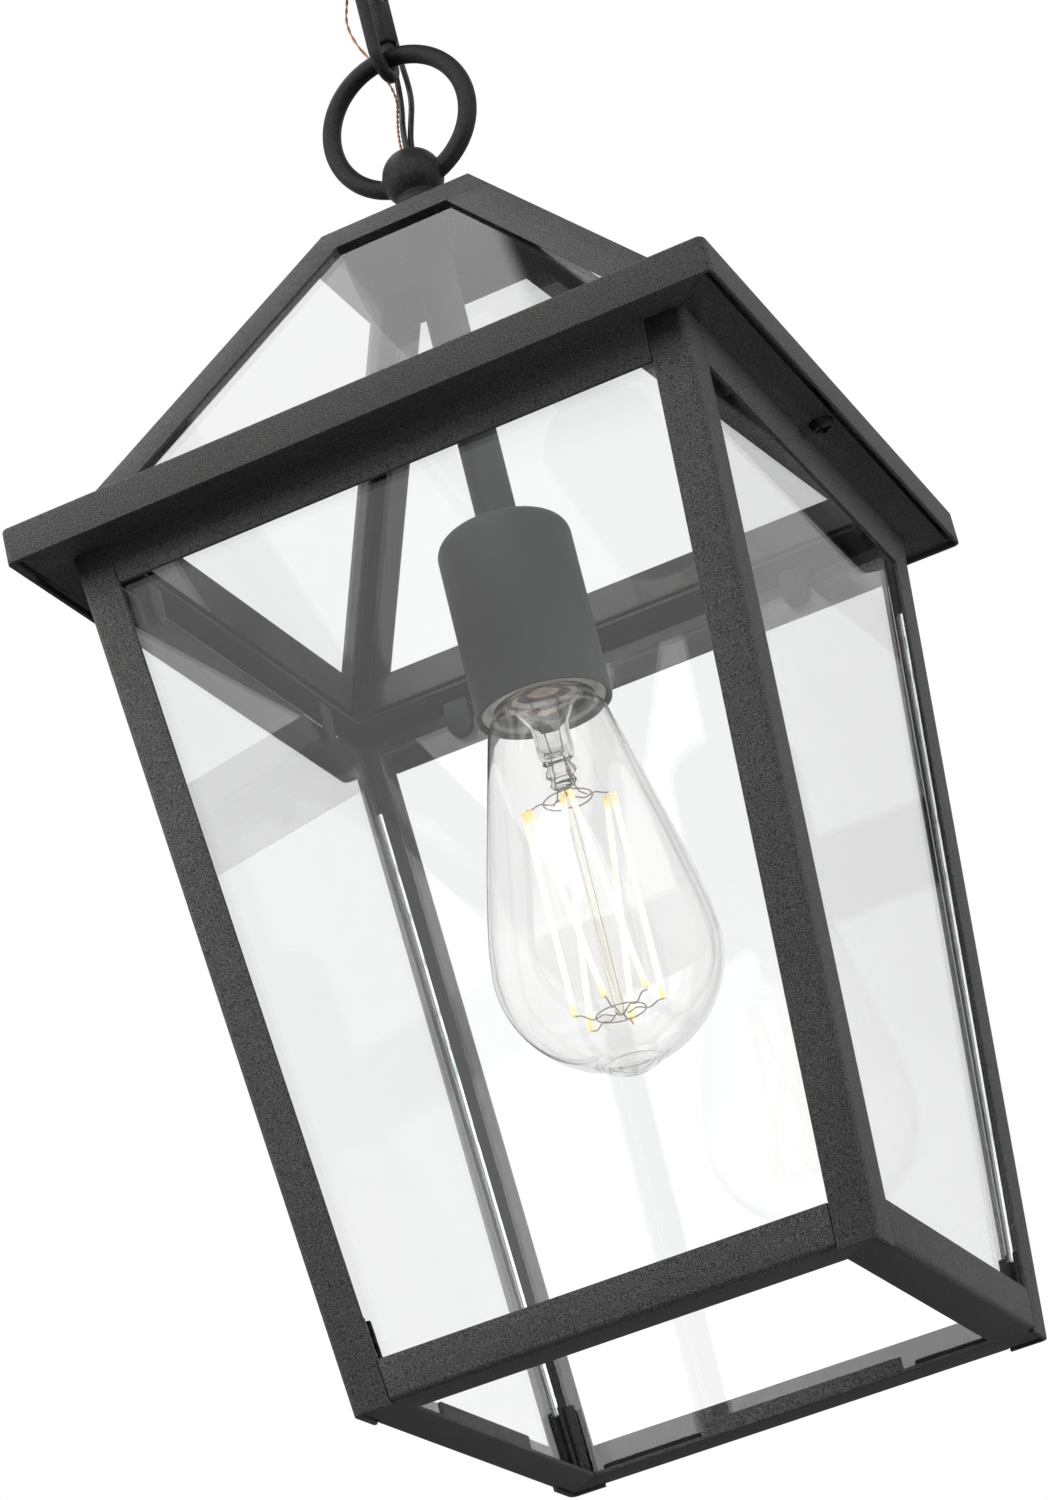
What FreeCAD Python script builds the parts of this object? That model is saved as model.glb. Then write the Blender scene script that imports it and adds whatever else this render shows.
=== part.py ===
"""Hanging porch lantern: tapered sheet-metal body with four glass panes, a glazed pyramid roof,
a cast ring, a quick link and a round ceiling canopy, with one screw-base lamp inside.

Millimetres, +Z up. The origin is the middle of the canopy's rim, on the ceiling, so everything
hangs below it. The front face looks along -Y. Each piece is one file in parts/.
"""
import FreeCAD
import Part
import math
import os

Vec = FreeCAD.Vector
TAU = 360.0

# ---------------------------------------------------------------- driving sizes

# heights above the top of the eave, before the whole lantern is hung below the ceiling
EAVE_HALF = 105.6          # half the width of the square eave
EAVE_DEPTH = 10.9          # height of the eave's turned-down edge
EAVE_BEND_R = 2.2          # outer radius of the eave's corners
SHEET = 1.2                # sheet metal of body, roof and eave
SEAM = 0.15                # open seam between two butted sheets

SOFFIT_RECESS = 1.4        # the soffit lies this far above the eave's lower edge
SOFFIT_GAP = 1.9           # gap between the soffit's edge and the inside of the eave
SOFFIT_LEDGE = 10.3        # how far the soffit stands out beyond the body
BODY_BOTTOM_HALF = 72.5    # body half width at its foot
BODY_DROP = 246.9          # from the eave's lower edge to the body's foot
POST_FRONT_LEG = 11.0      # corner post, leg in the front or rear face
POST_SIDE_LEG = 13.2       # corner post, leg in a side face
POST_STEP = 0.7            # the posts reach this far below the foot rails
POST_BEND_R = 2.2          # outside radius of the posts' bend
RAIL_BEND_R = 1.8          # outside radius of the foot rails' bend
FOOT_RAIL_FACE = 11.4      # height of the foot rails
FOOT_RAIL_FLANGE = 12.6    # width of the foot rails' flange
LIP_HEIGHT = 4.8           # top of the turned-up lip above the foot
LIP_SPANS = {              # where the lip on each foot rail starts and ends, along the rail
    "front": (-30.0, 30.0),
    "right": (-30.0, 30.0),
    "rear": (-34.0, 25.5),
    "left": (-16.0, 42.0),
}
TOP_RAIL_FACE = 11.9       # height of the top rails below the soffit

ROOF_LEDGE = 12.6          # how far the eave stands out beyond the foot of the roof
ROOF_TOP_HALF = 24.0       # half width of the flat top
ROOF_RISE = 96.4           # height of the roof
ROOF_BORDER = 12.0         # width of the roof's top and sill bars, along the slope
HIP_LEG = 11.4             # width of each hip leg, square to the hip
EAVE_FLANGE = 4.5          # the eave's top reaches this far in under the roof

GLASS = 3.0                # pane thickness
GLASS_GAP = 0.3            # pane to frame
PANE_TOP_GAP = 0.9         # body pane to the posts, at the soffit
PANE_FOOT_GAP = 2.4        # and at the foot, where the pads hold it off
PANE_INSET = 8.3           # body pane edge to the body's corner
ROOF_PANE_INSET = 7.6      # roof pane edge to the hip
ROOF_PANE_TOP_GAP = 4.6    # roof pane to the underside of the cap
GLASS_TOP = 4.2            # body panes stop this far below the soffit

TONGUE_WIDTH = 7.6         # clips that hold the panes' top edges
TONGUE_REACH = 9.6         # below the soffit
TONGUE_AT = 55.0           # from the middle of each side
TONGUE_FOOT = 2.7          # how far a clip's foot reaches out over the soffit
TONGUE_SHEET = 1.0
PAD_SHEET = 1.2            # rubber pads on the panes' edges at the foot
PAD_OUTER = 1.8            # their thickness between pane and post
PAD_REACH = 2.6            # how far a pad laps a pane's inner face
PAD_LENGTH = 18.0
SEALANT_HEIGHT = 2.4       # sealant bead along the panes' feet
SEALANT_WIDTH = 2.6

SCREW_SIDES = ("right", "left")   # the soffit's screws are on these sides alone
SCREW_EDGE = 4.1           # soffit screws, in from the soffit's edge
SCREW_R = 2.0
SCREW_HEAD_R = 3.7
SCREW_HEAD_H = 2.4
SCREW_CLEAR = 0.3
SCREW_GRIP = 5.0           # how far a screw reaches into its spacer
SPACER_FLATS = 7.0         # hexagonal spacers
THREAD_FIT = 0.05          # a screw or tube in its thread
SEAT_FIT = 0.1             # a shell in its bore

RING_R = 22.3              # hanging ring, to the middle of its wire
RING_WIRE_R = 2.85
RING_CENTRE = 137.6
BALL_R = 9.3
BALL_CENTRE = 117.5
NECK_TOP_R = 7.4
NECK_BASE_R = 9.6
NECK_TOP = 111.0
BALL_BORE_R = 3.25         # wireway through the top of the ball

STEM_R = 6.0               # tube between roof and socket cup
STEM_WALL = 0.9
TUBE_R = 4.9               # threaded tube inside the stem
TUBE_BORE_R = 3.4
TUBE_TOP = 107.0
NUT_FLATS = 14.0
NUT_HEIGHT = 5.0

CUP_R = 19.5
CUP_WALL = 1.0
CUP_TOP = -4.5
CUP_RIM = -61.2
CUP_ROUND = 5.0
PORCELAIN_R = 18.2
PORCELAIN_BORE_R = 14.5
PORCELAIN_RECESS = 1.2     # porcelain above the cup's rim
PORCELAIN_CROWN = 9.0      # solid porcelain above the bore
PORCELAIN_BOSS_R = 8.5
SHELL_R = 13.9             # socket's screw shell, outside
SHELL_WALL = 0.45
SHELL_LENGTH = 22.0
TONGUE_CONTACT_R = 4.0
TONGUE_CONTACT_H = 3.0

LAMP_RADIUS = 32.0         # ST64 lamp
LAMP_WIDEST = -137.4       # height of its widest circle
LAMP_NECK_TOP = -57.6
LAMP_NECK_R = 13.2
LAMP_SHOULDER = (16.6, -63.4)
LAMP_CONE = (20.4, -77.6)
LAMP_CONE_END = (30.3, -123.3)
LAMP_WALL = 0.8
LAMP_PIP_R = 7.0           # sealed tip of the glass: its radius and how far it stands out
LAMP_PIP_H = 3.2
CAP_R = 13.1
CAP_LENGTH = 21.5
CAP_TIP_R = 5.2
CAP_CONE = 3.6
CAP_CONTACT_R = 4.2
CAP_CONTACT_H = 1.4
LAMP_STEM_R = 5.2          # glass stem: its tube, then the pinch that holds the wires
LAMP_FLARE_H = 9.0
LAMP_TUBE_END = -75.0
LAMP_PINCH_R = 3.8
LAMP_PINCH_END = -84.5
LAMP_PINCH_H = 2.6         # height of the tapers above and below the pinch
LAMP_ROD_R = 1.6
LAMP_RING_R = 7.0
LAMP_RING_SIDES = 18
LAMP_WIRE_R = 0.3
UPPER_RING = -89.6
LOWER_RING = -154.6
FILAMENT_R = 0.95
FILAMENT_TURN = 18.0       # the lamp's supports are turned this far about its axis
UPPER_ENDS = ((-11.9, 0.0), (-0.4, -9.4), (11.6, 0.6))
LOWER_ENDS = ((-12.4, -0.6), (-3.2, -11.2), (-9.2, 10.0), (8.2, -10.6), (2.6, 10.4), (12.2, 0.4))
LOWER_RISES = (1.6, 1.2, 0.0, 1.2, 0.0, 0.8)

RING_RUNS = 24             # straight runs of wire that make up the ring
LOOP_RUNS = 16             # and the ceiling loop
LINK_RUNS = 8              # and each bend of the quick link
BALL_STEPS = 5             # cone steps down each ball
ROUND_STEPS = 3            # and round the shoulders of the canopy and the cup

LINK_WIRE_R = 2.0          # quick link
LINK_BEND_R = 6.5          # to the middle of its wire
LINK_STRAIGHT = 29.5
LINK_HANG_GAP = 0.3        # between link and ring, and between link and canopy loop
LINK_MOUTH = 6.0           # open mouth behind the sleeve
SLEEVE_FLATS = 6.9
SLEEVE_LENGTH = 14.6
SLEEVE_GRIP = 1.2          # closed sleeve's reach onto the rod below the mouth
SLEEVE_FIT = 0.06
SLEEVE_CHAMFER = 0.9

LOOP_R = 11.0              # ceiling loop, to the middle of its wire
LOOP_WIRE_R = 2.5
LOOP_BALL_R = 7.6
LOOP_BALL_RISE = 12.6      # ball centre above the loop's centre
LOOP_COLLAR_R = 10.0
LOOP_COLLAR_H = 5.0
LOOP_COLLAR_SINK = 2.65    # the collar starts this far down the ball
LOOP_COLLAR_EDGE = 1.2
LOOP_BORE_R = 3.25

CANOPY_R = 63.5
CANOPY_HEIGHT = 24.0
CANOPY_RIM = 9.0           # straight part of its side
CANOPY_WALL = 1.2
BAR_LENGTH = 104.0
BAR_WIDTH = 22.0
BAR_SHEET = 2.4
BOX_SCREW_SPACING = 88.9   # ceiling box screws, 3 1/2 inch apart
BOX_SCREW_R = 2.3

LEAD_R = 0.9               # black insulated leads
GROUND_R = 0.45            # bare ground wire
CORD_SIDES = 8             # sides of a lead's section, which has a round wire's area

# ---------------------------------------------------------------- sizes worked out from them

SOFFIT_HALF = EAVE_HALF - SHEET - SOFFIT_GAP
SOFFIT_SCREW_AT = SOFFIT_HALF - SCREW_EDGE
BODY_TOP_HALF = SOFFIT_HALF - SOFFIT_LEDGE             # body half width at the soffit
ROOF_BASE_HALF = EAVE_HALF - ROOF_LEDGE                # roof half width where it meets the eave
EAVE_OPENING_HALF = ROOF_BASE_HALF - EAVE_FLANGE       # opening in the eave's top

ROOF_RUN = ROOF_BASE_HALF - ROOF_TOP_HALF
ROOF_SLOPE = math.atan2(ROOF_RISE, ROOF_RUN)
ROOF_SHEET = SHEET / math.sin(ROOF_SLOPE)              # roof sheet measured level
ROOF_GLASS = GLASS / math.sin(ROOF_SLOPE)
ROOF_GLASS_GAP = GLASS_GAP / math.sin(ROOF_SLOPE)
BORDER_RISE = ROOF_BORDER * math.sin(ROOF_SLOPE)
HIP_LEVEL = HIP_LEG * math.hypot(ROOF_RUN, math.hypot(ROOF_RUN, ROOF_RISE)) / math.hypot(
    ROOF_RUN, ROOF_RISE)                               # a hip leg's width measured level
CAP_FOOT = ROOF_RISE - BORDER_RISE

SOFFIT = -EAVE_DEPTH + SOFFIT_RECESS                   # underside of the soffit
FOOT = -EAVE_DEPTH - BODY_DROP
FOOT_OPENING = BODY_BOTTOM_HALF - FOOT_RAIL_FLANGE

LINK_FOOT = RING_CENTRE + RING_R - RING_WIRE_R - LINK_HANG_GAP - LINK_WIRE_R
LINK_LOW_BEND = LINK_FOOT + LINK_BEND_R                # centres of the link's two bends
LINK_HIGH_BEND = LINK_LOW_BEND + LINK_STRAIGHT
LINK_MIDDLE = (LINK_LOW_BEND + LINK_HIGH_BEND) / 2
LINK_HEAD = LINK_HIGH_BEND + LINK_BEND_R
SLEEVE_FOOT = LINK_MIDDLE - SLEEVE_LENGTH / 2
MOUTH_FOOT = SLEEVE_FOOT + SLEEVE_GRIP
LOOP_FOOT = LINK_HEAD - LINK_WIRE_R - LINK_HANG_GAP - LOOP_WIRE_R
LOOP_CENTRE = LOOP_FOOT + LOOP_R
LOOP_BALL = LOOP_CENTRE + LOOP_BALL_RISE
CANOPY_FOOT = LOOP_BALL + LOOP_BALL_R + LOOP_COLLAR_H - LOOP_COLLAR_SINK
CEILING = CANOPY_FOOT + CANOPY_HEIGHT

PORCELAIN_FOOT = CUP_RIM + PORCELAIN_RECESS
CAP_TOP = LAMP_NECK_TOP + CAP_LENGTH
CONTACT_TOP = CAP_TOP + CAP_CONE + CAP_CONTACT_H
SEAT_GAP = 0.3
BORE_TOP = CONTACT_TOP + SEAT_GAP + TONGUE_CONTACT_H
PORCELAIN_TOP = BORE_TOP + PORCELAIN_CROWN
NUT_TOP = CUP_TOP - CUP_WALL

SIDES = {"front": 0.0, "right": 90.0, "rear": 180.0, "left": 270.0}
CORNERS = {
    "front_left": (-1, -1),
    "front_right": (1, -1),
    "rear_right": (1, 1),
    "rear_left": (-1, 1),
}


# ---------------------------------------------------------------- helpers

def body_half(z):
    """The body's half width at a height."""
    share = (z - FOOT) / (SOFFIT - FOOT)
    return BODY_BOTTOM_HALF + (BODY_TOP_HALF - BODY_BOTTOM_HALF) * share


def glass_out(z):
    """The distance of the body panes' outer faces from the middle, at a height."""
    share = (z - FOOT) / (SOFFIT - FOOT)
    return body_half(z) - SHEET - PANE_FOOT_GAP - (PANE_TOP_GAP - PANE_FOOT_GAP) * share


def roof_half(z):
    """The roof's half width at a height."""
    return ROOF_BASE_HALF - ROOF_RUN * z / ROOF_RISE


def between(low, high):
    """A solid with flat sides between two level outlines of as many points."""
    count = len(low)
    area = sum(low[i - 1][0] * low[i][1] - low[i][0] * low[i - 1][1] for i in range(count))
    step = 1 if area > 0 else -1
    foot, head = ([Vec(*p) for p in ring][::step] for ring in (low, high))
    loops = [foot[::-1], head]
    for i in range(count):
        j = (i + 1) % count
        loops.append([foot[i], foot[j], head[j], head[i]])
    shell = Part.makeShell([Part.Face(Part.makePolygon(ring + ring[:1])) for ring in loops])
    shell.sewShape()
    return Part.makeSolid(shell)


def tapered(outline, low, high):
    """A solid whose level outline is outline(z) at both heights."""
    return between(*([(x, y, z) for x, y in outline(z)] for z in (low, high)))


def plate(points, low, high):
    """A straight plate with the same outline at both heights."""
    return tapered(lambda z: points, low, high)


def bar(x0, x1, y0, y1, z0, z1):
    return Part.makeBox(x1 - x0, y1 - y0, z1 - z0, Vec(x0, y0, z0))


def rod(radius, low, high, x=0.0, y=0.0):
    return Part.makeCylinder(radius, high - low, Vec(x, y, low))


def tube(outer, inner, low, high):
    return rod(outer, low, high).cut(rod(inner, low, high))


def around(radius, count):
    """Points of a regular polygon whose corners lie on a radius."""
    return [(radius * math.cos(2 * math.pi * i / count), radius * math.sin(2 * math.pi * i / count))
            for i in range(count)]


def hexagon_points(flats):
    return around(flats / math.sqrt(3), 6)


def hexagon(flats, low, high):
    return plate(hexagon_points(flats), low, high)


def steps(x, z, radius, start, end, count):
    """Points round an arc of a turned profile, between two angles, for cone steps."""
    angles = [math.radians(start + (end - start) * i / count) for i in range(count + 1)]
    return [(max(0.0, x + radius * math.cos(a)), z + radius * math.sin(a)) for a in angles]


def bend_points(radius, start, end, runs):
    """A bend of straight runs that touch a circle; it starts and ends in the middle of a run."""
    step = (end - start) / runs
    corner = radius / math.cos(math.radians(step) / 2)
    angles = [start + step * (i + 0.5) for i in range(runs)]
    path = [(radius, start)] + [(corner, a) for a in angles] + [(radius, end)]
    return [(r * math.cos(math.radians(a)), r * math.sin(math.radians(a))) for r, a in path]


def bent(points, radius):
    """Round wire along straight runs, mitred at each corner."""
    route = [Vec(*p) for p in points]
    ring = Part.Wire(Part.makeCircle(radius, route[0], route[1] - route[0]))
    return Part.Wire(Part.makePolygon(route)).makePipeShell([ring], True, False, 1)


def turned(shape, degrees, about=Vec(0, 0, 0), axis=Vec(0, 0, 1)):
    copy = shape.copy()
    copy.rotate(about, axis, degrees)
    return copy


def revolved(profile):
    """A turned solid from (radius, height) points."""
    points = [Vec(r, 0, z) for r, z in profile]
    face = Part.Face(Part.makePolygon(points + points[:1]))
    return face.revolve(Vec(0, 0, 0), Vec(0, 0, 1), TAU)


def rounded(shape, radius, wanted):
    """Rounds the edges that wanted(edge) picks."""
    return shape.makeFillet(radius, [e for e in shape.Edges if wanted(e)])


def ends(edge):
    return [v.Point for v in edge.Vertexes]


def along_z(edge, x, y, spread):
    """True for an upright edge near the corner (x, y)."""
    points = ends(edge)
    if len(points) < 2 or abs(points[0].z - points[1].z) < 1.0:
        return False
    return all(abs(abs(p.x) - x) < spread and abs(abs(p.y) - y) < spread for p in points)


def cord(points, radius, name):
    """A tube along straight runs joined by arcs as large as the runs allow."""
    route = [Vec(*p) for p in points]
    edges, here, radii = [], route[0], []
    for before, corner, after in zip(route, route[1:], route[2:]):
        back, ahead = before - corner, after - corner
        turn = math.pi - back.getAngle(ahead)
        reach = 0.45 * min(back.Length, ahead.Length)
        bend = reach / math.tan(turn / 2)
        radii.append(round(bend, 1))
        back.normalize()
        ahead.normalize()
        middle = (back + ahead).normalize()
        start, end = corner + back * reach, corner + ahead * reach
        tip = corner + middle * (bend / math.cos(turn / 2) - bend)
        edges.append(Part.makeLine(here, start))
        edges.append(Part.Arc(start, tip, end).toShape())
        here = end
    edges.append(Part.makeLine(here, route[-1]))
    wire = Part.Wire(edges)
    way = (route[1] - route[0]).normalize()
    side = way.cross(Vec(1, 0, 0)).normalize()
    area = math.pi * radius ** 2
    corner = math.sqrt(2 * area / (CORD_SIDES * math.sin(2 * math.pi / CORD_SIDES)))
    ring = [route[0] + side * a + way.cross(side) * b for a, b in around(corner, CORD_SIDES)]
    solid = wire.makePipeShell([Part.makePolygon(ring + ring[:1])], True, False)
    wanted = area * wire.Length
    print(f"{name}: length {wire.Length:.1f}, radii {radii}, volume ratio"
          f" {solid.Volume / wanted:.4f}")
    return solid


# ---------------------------------------------------------------- body

def post(sx, sy):
    """An angle with its bend outward, one leg in the front or rear face and one in a side face."""
    def outline(z):
        h = body_half(z)
        ring = [(h, h), (h, h - POST_SIDE_LEG), (h - SHEET, h - POST_SIDE_LEG),
                (h - SHEET, h - SHEET), (h - POST_FRONT_LEG, h - SHEET), (h - POST_FRONT_LEG, h)]
        return [(sx * x, sy * y) for x, y in ring]
    solid = tapered(outline, FOOT - POST_STEP, SOFFIT)
    spread = BODY_TOP_HALF - BODY_BOTTOM_HALF
    corner = (BODY_TOP_HALF + BODY_BOTTOM_HALF) / 2
    inner = [e for e in solid.Edges if along_z(e, corner, corner, spread)]
    outer = max(inner, key=lambda e: abs(e.CenterOfMass.x) + abs(e.CenterOfMass.y))
    return solid.makeFillet(POST_BEND_R, [outer])


def side_leg(side):
    """The width of the post legs that a side's rails fit between."""
    return POST_FRONT_LEG if side in ("front", "rear") else POST_SIDE_LEG


def foot_rail(side):
    """An angle with its flange inward, mitred at both ends, and a turned-up lip for the glass."""
    leg = side_leg(side) + SEAM
    foot_half = body_half(FOOT)

    def face(z):
        h = body_half(z)
        return [(-(h - leg), -h), (h - leg, -h), (h - leg, -h + SHEET), (-(h - leg), -h + SHEET)]
    notch = RAIL_BEND_R + SEAM
    way = FOOT_OPENING

    def flange(z):
        h = body_half(z)
        return [(-(h - leg), -h), (h - leg, -h), (h - leg, -h + notch), (h - notch, -h + notch),
                (way, -way), (-way, -way), (-(h - notch), -h + notch), (-(h - leg), -h + notch)]
    solid = tapered(face, FOOT, FOOT + FOOT_RAIL_FACE)
    solid = solid.fuse(tapered(flange, FOOT, FOOT + SHEET))
    start, end = LIP_SPANS[side]
    lip = bar(start, end, -FOOT_OPENING - SHEET, -FOOT_OPENING, FOOT, FOOT + LIP_HEIGHT)
    solid = solid.fuse(lip).removeSplitter()

    def bend(edge):
        points = ends(edge)
        return len(points) == 2 and all(
            abs(p.z - FOOT) < 1e-4 and abs(p.y + foot_half) < 1e-3 for p in points)
    return turned(rounded(solid, RAIL_BEND_R, bend), SIDES[side])


def top_rail(side):
    """An angle whose flange turns outward and makes one side of the soffit."""
    leg = side_leg(side) + SEAM
    foot = SOFFIT - TOP_RAIL_FACE
    top_half = body_half(SOFFIT)

    def face(z):
        h = body_half(z)
        return [(-(h - leg), -h), (h - leg, -h), (h - leg, -h + SHEET), (-(h - leg), -h + SHEET)]
    inner = top_half - SHEET
    flange = [(-SOFFIT_HALF, -SOFFIT_HALF), (SOFFIT_HALF, -SOFFIT_HALF), (inner, -inner),
              (-inner, -inner)]
    solid = tapered(face, foot, SOFFIT).fuse(plate(flange, SOFFIT, SOFFIT + SHEET))
    solid = solid.removeSplitter()
    if side in SCREW_SIDES:
        solid = solid.cut(rod(SCREW_R + SCREW_CLEAR, SOFFIT - SHEET, SOFFIT + 2 * SHEET, 0,
                              -SOFFIT_SCREW_AT))
    return turned(solid, SIDES[side])


def body_pane(side):
    """A pane behind the posts and rails, its foot on the rail's flange."""
    def outline(z):
        half, out = body_half(z) - PANE_INSET, glass_out(z)
        return [(-half, -out), (half, -out), (half, -out + GLASS), (-half, -out + GLASS)]
    return turned(tapered(outline, FOOT + SHEET + GLASS_GAP, SOFFIT - GLASS_TOP), SIDES[side])


def glass_tongues():
    """Eight bent clips on the soffit, two to a side, with round ends inside the panes."""
    back = -(glass_out(SOFFIT - TONGUE_REACH) - GLASS_GAP - GLASS)
    top = SOFFIT + SHEET
    clips = []
    for side in SIDES.values():
        for x in (-TONGUE_AT, TONGUE_AT):
            half = TONGUE_WIDTH / 2
            leg = bar(x - half, x + half, back, back + TONGUE_SHEET,
                      SOFFIT - TONGUE_REACH + half, top + TONGUE_SHEET)
            tip = Part.makeCylinder(half, TONGUE_SHEET,
                                    Vec(x, back, SOFFIT - TONGUE_REACH + half), Vec(0, 1, 0))
            foot = bar(x - half, x + half, -BODY_TOP_HALF - TONGUE_FOOT, back + TONGUE_SHEET,
                       top, top + TONGUE_SHEET)
            clips.append(turned(leg.fuse([tip, foot]).removeSplitter(), side))
    return Part.makeCompound(clips)


def corner_pads():
    """Two soft pads in each foot corner: a sleeve on one pane's edge, a block on the other's."""
    low = FOOT + SHEET + GLASS_GAP
    fit = GLASS_GAP / 2
    pads = []
    for sx, sy in CORNERS.values():
        def sleeve(z):
            edge = body_half(z) - PANE_INSET + GLASS_GAP
            out = glass_out(z)
            back = out - GLASS - GLASS_GAP
            lap, end = edge - PAD_REACH, edge + PAD_SHEET
            ring = [(lap, out + fit), (edge, out + fit), (edge, back), (lap, back),
                    (lap, back - PAD_SHEET), (end, back - PAD_SHEET), (end, out + fit + PAD_OUTER),
                    (lap, out + fit + PAD_OUTER)]
            return [(sx * x, sy * y) for x, y in ring]

        def block(z):
            edge = body_half(z) - PANE_INSET + GLASS_GAP
            out = glass_out(z)
            inside = edge + PAD_SHEET + GLASS_GAP
            ring = [(inside, edge), (out + fit, edge), (out + fit, edge - PAD_REACH),
                    (out + fit + PAD_OUTER, edge - PAD_REACH), (out + fit + PAD_OUTER, out),
                    (inside, out)]
            return [(sx * x, sy * y) for x, y in ring]
        pads.append(tapered(sleeve, low, low + PAD_LENGTH))
        pads.append(tapered(block, low, low + PAD_LENGTH))
    return Part.makeCompound(pads)


def sealant():
    """A bead along the inside of each pane's foot, either side of the lip."""
    low = FOOT + SHEET
    beads = []
    inner = glass_out(low) - GLASS_GAP - GLASS
    for side, turn in SIDES.items():
        start, end = LIP_SPANS[side]
        reach = inner - SEALANT_WIDTH - 2 * PAD_REACH
        for x0, x1 in ((-reach, start - SEALANT_WIDTH), (end + SEALANT_WIDTH, reach)):
            bead = bar(x0, x1, -inner, -inner + SEALANT_WIDTH, low, low + SEALANT_HEIGHT)
            bead = rounded(bead, SEALANT_WIDTH * 0.45, lambda e: len(e.Vertexes) == 2 and all(
                abs(p.z - low - SEALANT_HEIGHT) < 1e-6 and abs(p.y + inner - SEALANT_WIDTH) < 1e-6
                for p in ends(e)))
            beads.append(turned(bead, turn))
    return Part.makeCompound(beads)


# ---------------------------------------------------------------- eave and roof

def eave():
    """A square tray, open below, with an opening in its top that the roof stands round."""
    half = EAVE_HALF
    solid = bar(-half, half, -half, half, -EAVE_DEPTH, 0)
    solid = rounded(solid, EAVE_BEND_R, lambda e: along_z(e, half, half, 1e-3))
    top_round = SHEET
    solid = rounded(solid, top_round, lambda e: all(abs(p.z) < 1e-6 for p in ends(e)))
    inner = half - SHEET
    hollow = bar(-inner, inner, -inner, inner, -EAVE_DEPTH - SHEET, -SHEET)
    hollow = rounded(hollow, EAVE_BEND_R - SHEET, lambda e: along_z(e, inner, inner, 1e-3))
    way = EAVE_OPENING_HALF
    return solid.cut(hollow).cut(bar(-way, way, -way, way, -EAVE_DEPTH, SHEET))


def spacers():
    """Tapped spacers under the eave that take the soffit screws."""
    solid = hexagon(SPACER_FLATS, SOFFIT + SHEET, -SHEET)
    solid = solid.cut(rod(SCREW_R + THREAD_FIT, SOFFIT, 0))
    solid.translate(Vec(0, -SOFFIT_SCREW_AT, 0))
    return Part.makeCompound([turned(solid, SIDES[side]) for side in SCREW_SIDES])


def soffit_screws():
    """Round-head screws up through the soffit."""
    head = revolved([(0, SOFFIT), (SCREW_HEAD_R, SOFFIT),
                     (SCREW_HEAD_R * 0.7, SOFFIT - SCREW_HEAD_H), (0, SOFFIT - SCREW_HEAD_H)])
    slot = SCREW_HEAD_R * 0.22
    reach = SCREW_HEAD_R * 0.62
    low = SOFFIT - SCREW_HEAD_H
    cross = bar(-reach, reach, -slot, slot, low - 1, low + SCREW_HEAD_H * 0.5).fuse(
        bar(-slot, slot, -reach, reach, low - 1, low + SCREW_HEAD_H * 0.5))
    screw = head.cut(cross).fuse(rod(SCREW_R, SOFFIT, SOFFIT + SHEET + SCREW_GRIP))
    screw.translate(Vec(0, -SOFFIT_SCREW_AT, 0))
    return Part.makeCompound([turned(screw, SIDES[side]) for side in SCREW_SIDES])


def hip(sx, sy):
    """A bent strip over one corner of the roof."""
    def outline(z):
        r = roof_half(z)
        ring = [(r, r), (r, r - HIP_LEVEL), (r - ROOF_SHEET, r - HIP_LEVEL),
                (r - ROOF_SHEET, r - ROOF_SHEET), (r - HIP_LEVEL, r - ROOF_SHEET),
                (r - HIP_LEVEL, r)]
        return [(sx * x, sy * y) for x, y in ring]
    return tapered(outline, 0.0, CAP_FOOT)


def roof_sills():
    """Four bars along the foot of the roof, between the hips."""
    def outline(z):
        r = roof_half(z)
        return [(-(r - HIP_LEVEL), -r), (r - HIP_LEVEL, -r), (r - HIP_LEVEL, -r + ROOF_SHEET),
                (-(r - HIP_LEVEL), -r + ROOF_SHEET)]
    bars = [turned(tapered(outline, 0.0, BORDER_RISE), side) for side in SIDES.values()]
    return Part.makeCompound(bars)


def roof_cap():
    """The pressed top: a flat square with four sloping skirts, bored for the threaded tube."""
    def outer(z):
        r = roof_half(z)
        return [(-r, -r), (r, -r), (r, r), (-r, r)]

    def inner(z):
        r = roof_half(z) - ROOF_SHEET
        return [(-r, -r), (r, -r), (r, r), (-r, r)]
    solid = tapered(outer, CAP_FOOT, ROOF_RISE)
    top = [e for e in solid.Edges if all(abs(p.z - ROOF_RISE) < 1e-6 for p in ends(e))]
    solid = solid.makeFillet(SHEET * 0.5, top)
    solid = solid.cut(tapered(inner, CAP_FOOT - ROOF_SHEET, ROOF_RISE - SHEET))
    return solid.cut(rod(TUBE_R + THREAD_FIT, CAP_FOOT, ROOF_RISE + SHEET))


def roof_pane(side):
    """A pane under the hips, its foot on the eave."""
    def outline(z):
        r = roof_half(z)
        out = r - ROOF_SHEET - ROOF_GLASS_GAP
        wide = r - ROOF_PANE_INSET
        return [(-wide, -out), (wide, -out), (wide, -out + ROOF_GLASS), (-wide, -out + ROOF_GLASS)]
    return turned(tapered(outline, GLASS_GAP, ROOF_RISE - ROOF_PANE_TOP_GAP), SIDES[side])


# ---------------------------------------------------------------- hanging parts

def wire_ring(radius, wire_r, centre, runs):
    """A standing ring of round wire: two halves, each bent in short straight runs."""
    path = bend_points(radius, 90, 270, runs // 2)
    half = bent([(x, 0, centre + z) for x, z in path], wire_r)
    return half.fuse(half.mirror(Vec(0, 0, 0), Vec(1, 0, 0))).removeSplitter()


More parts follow.
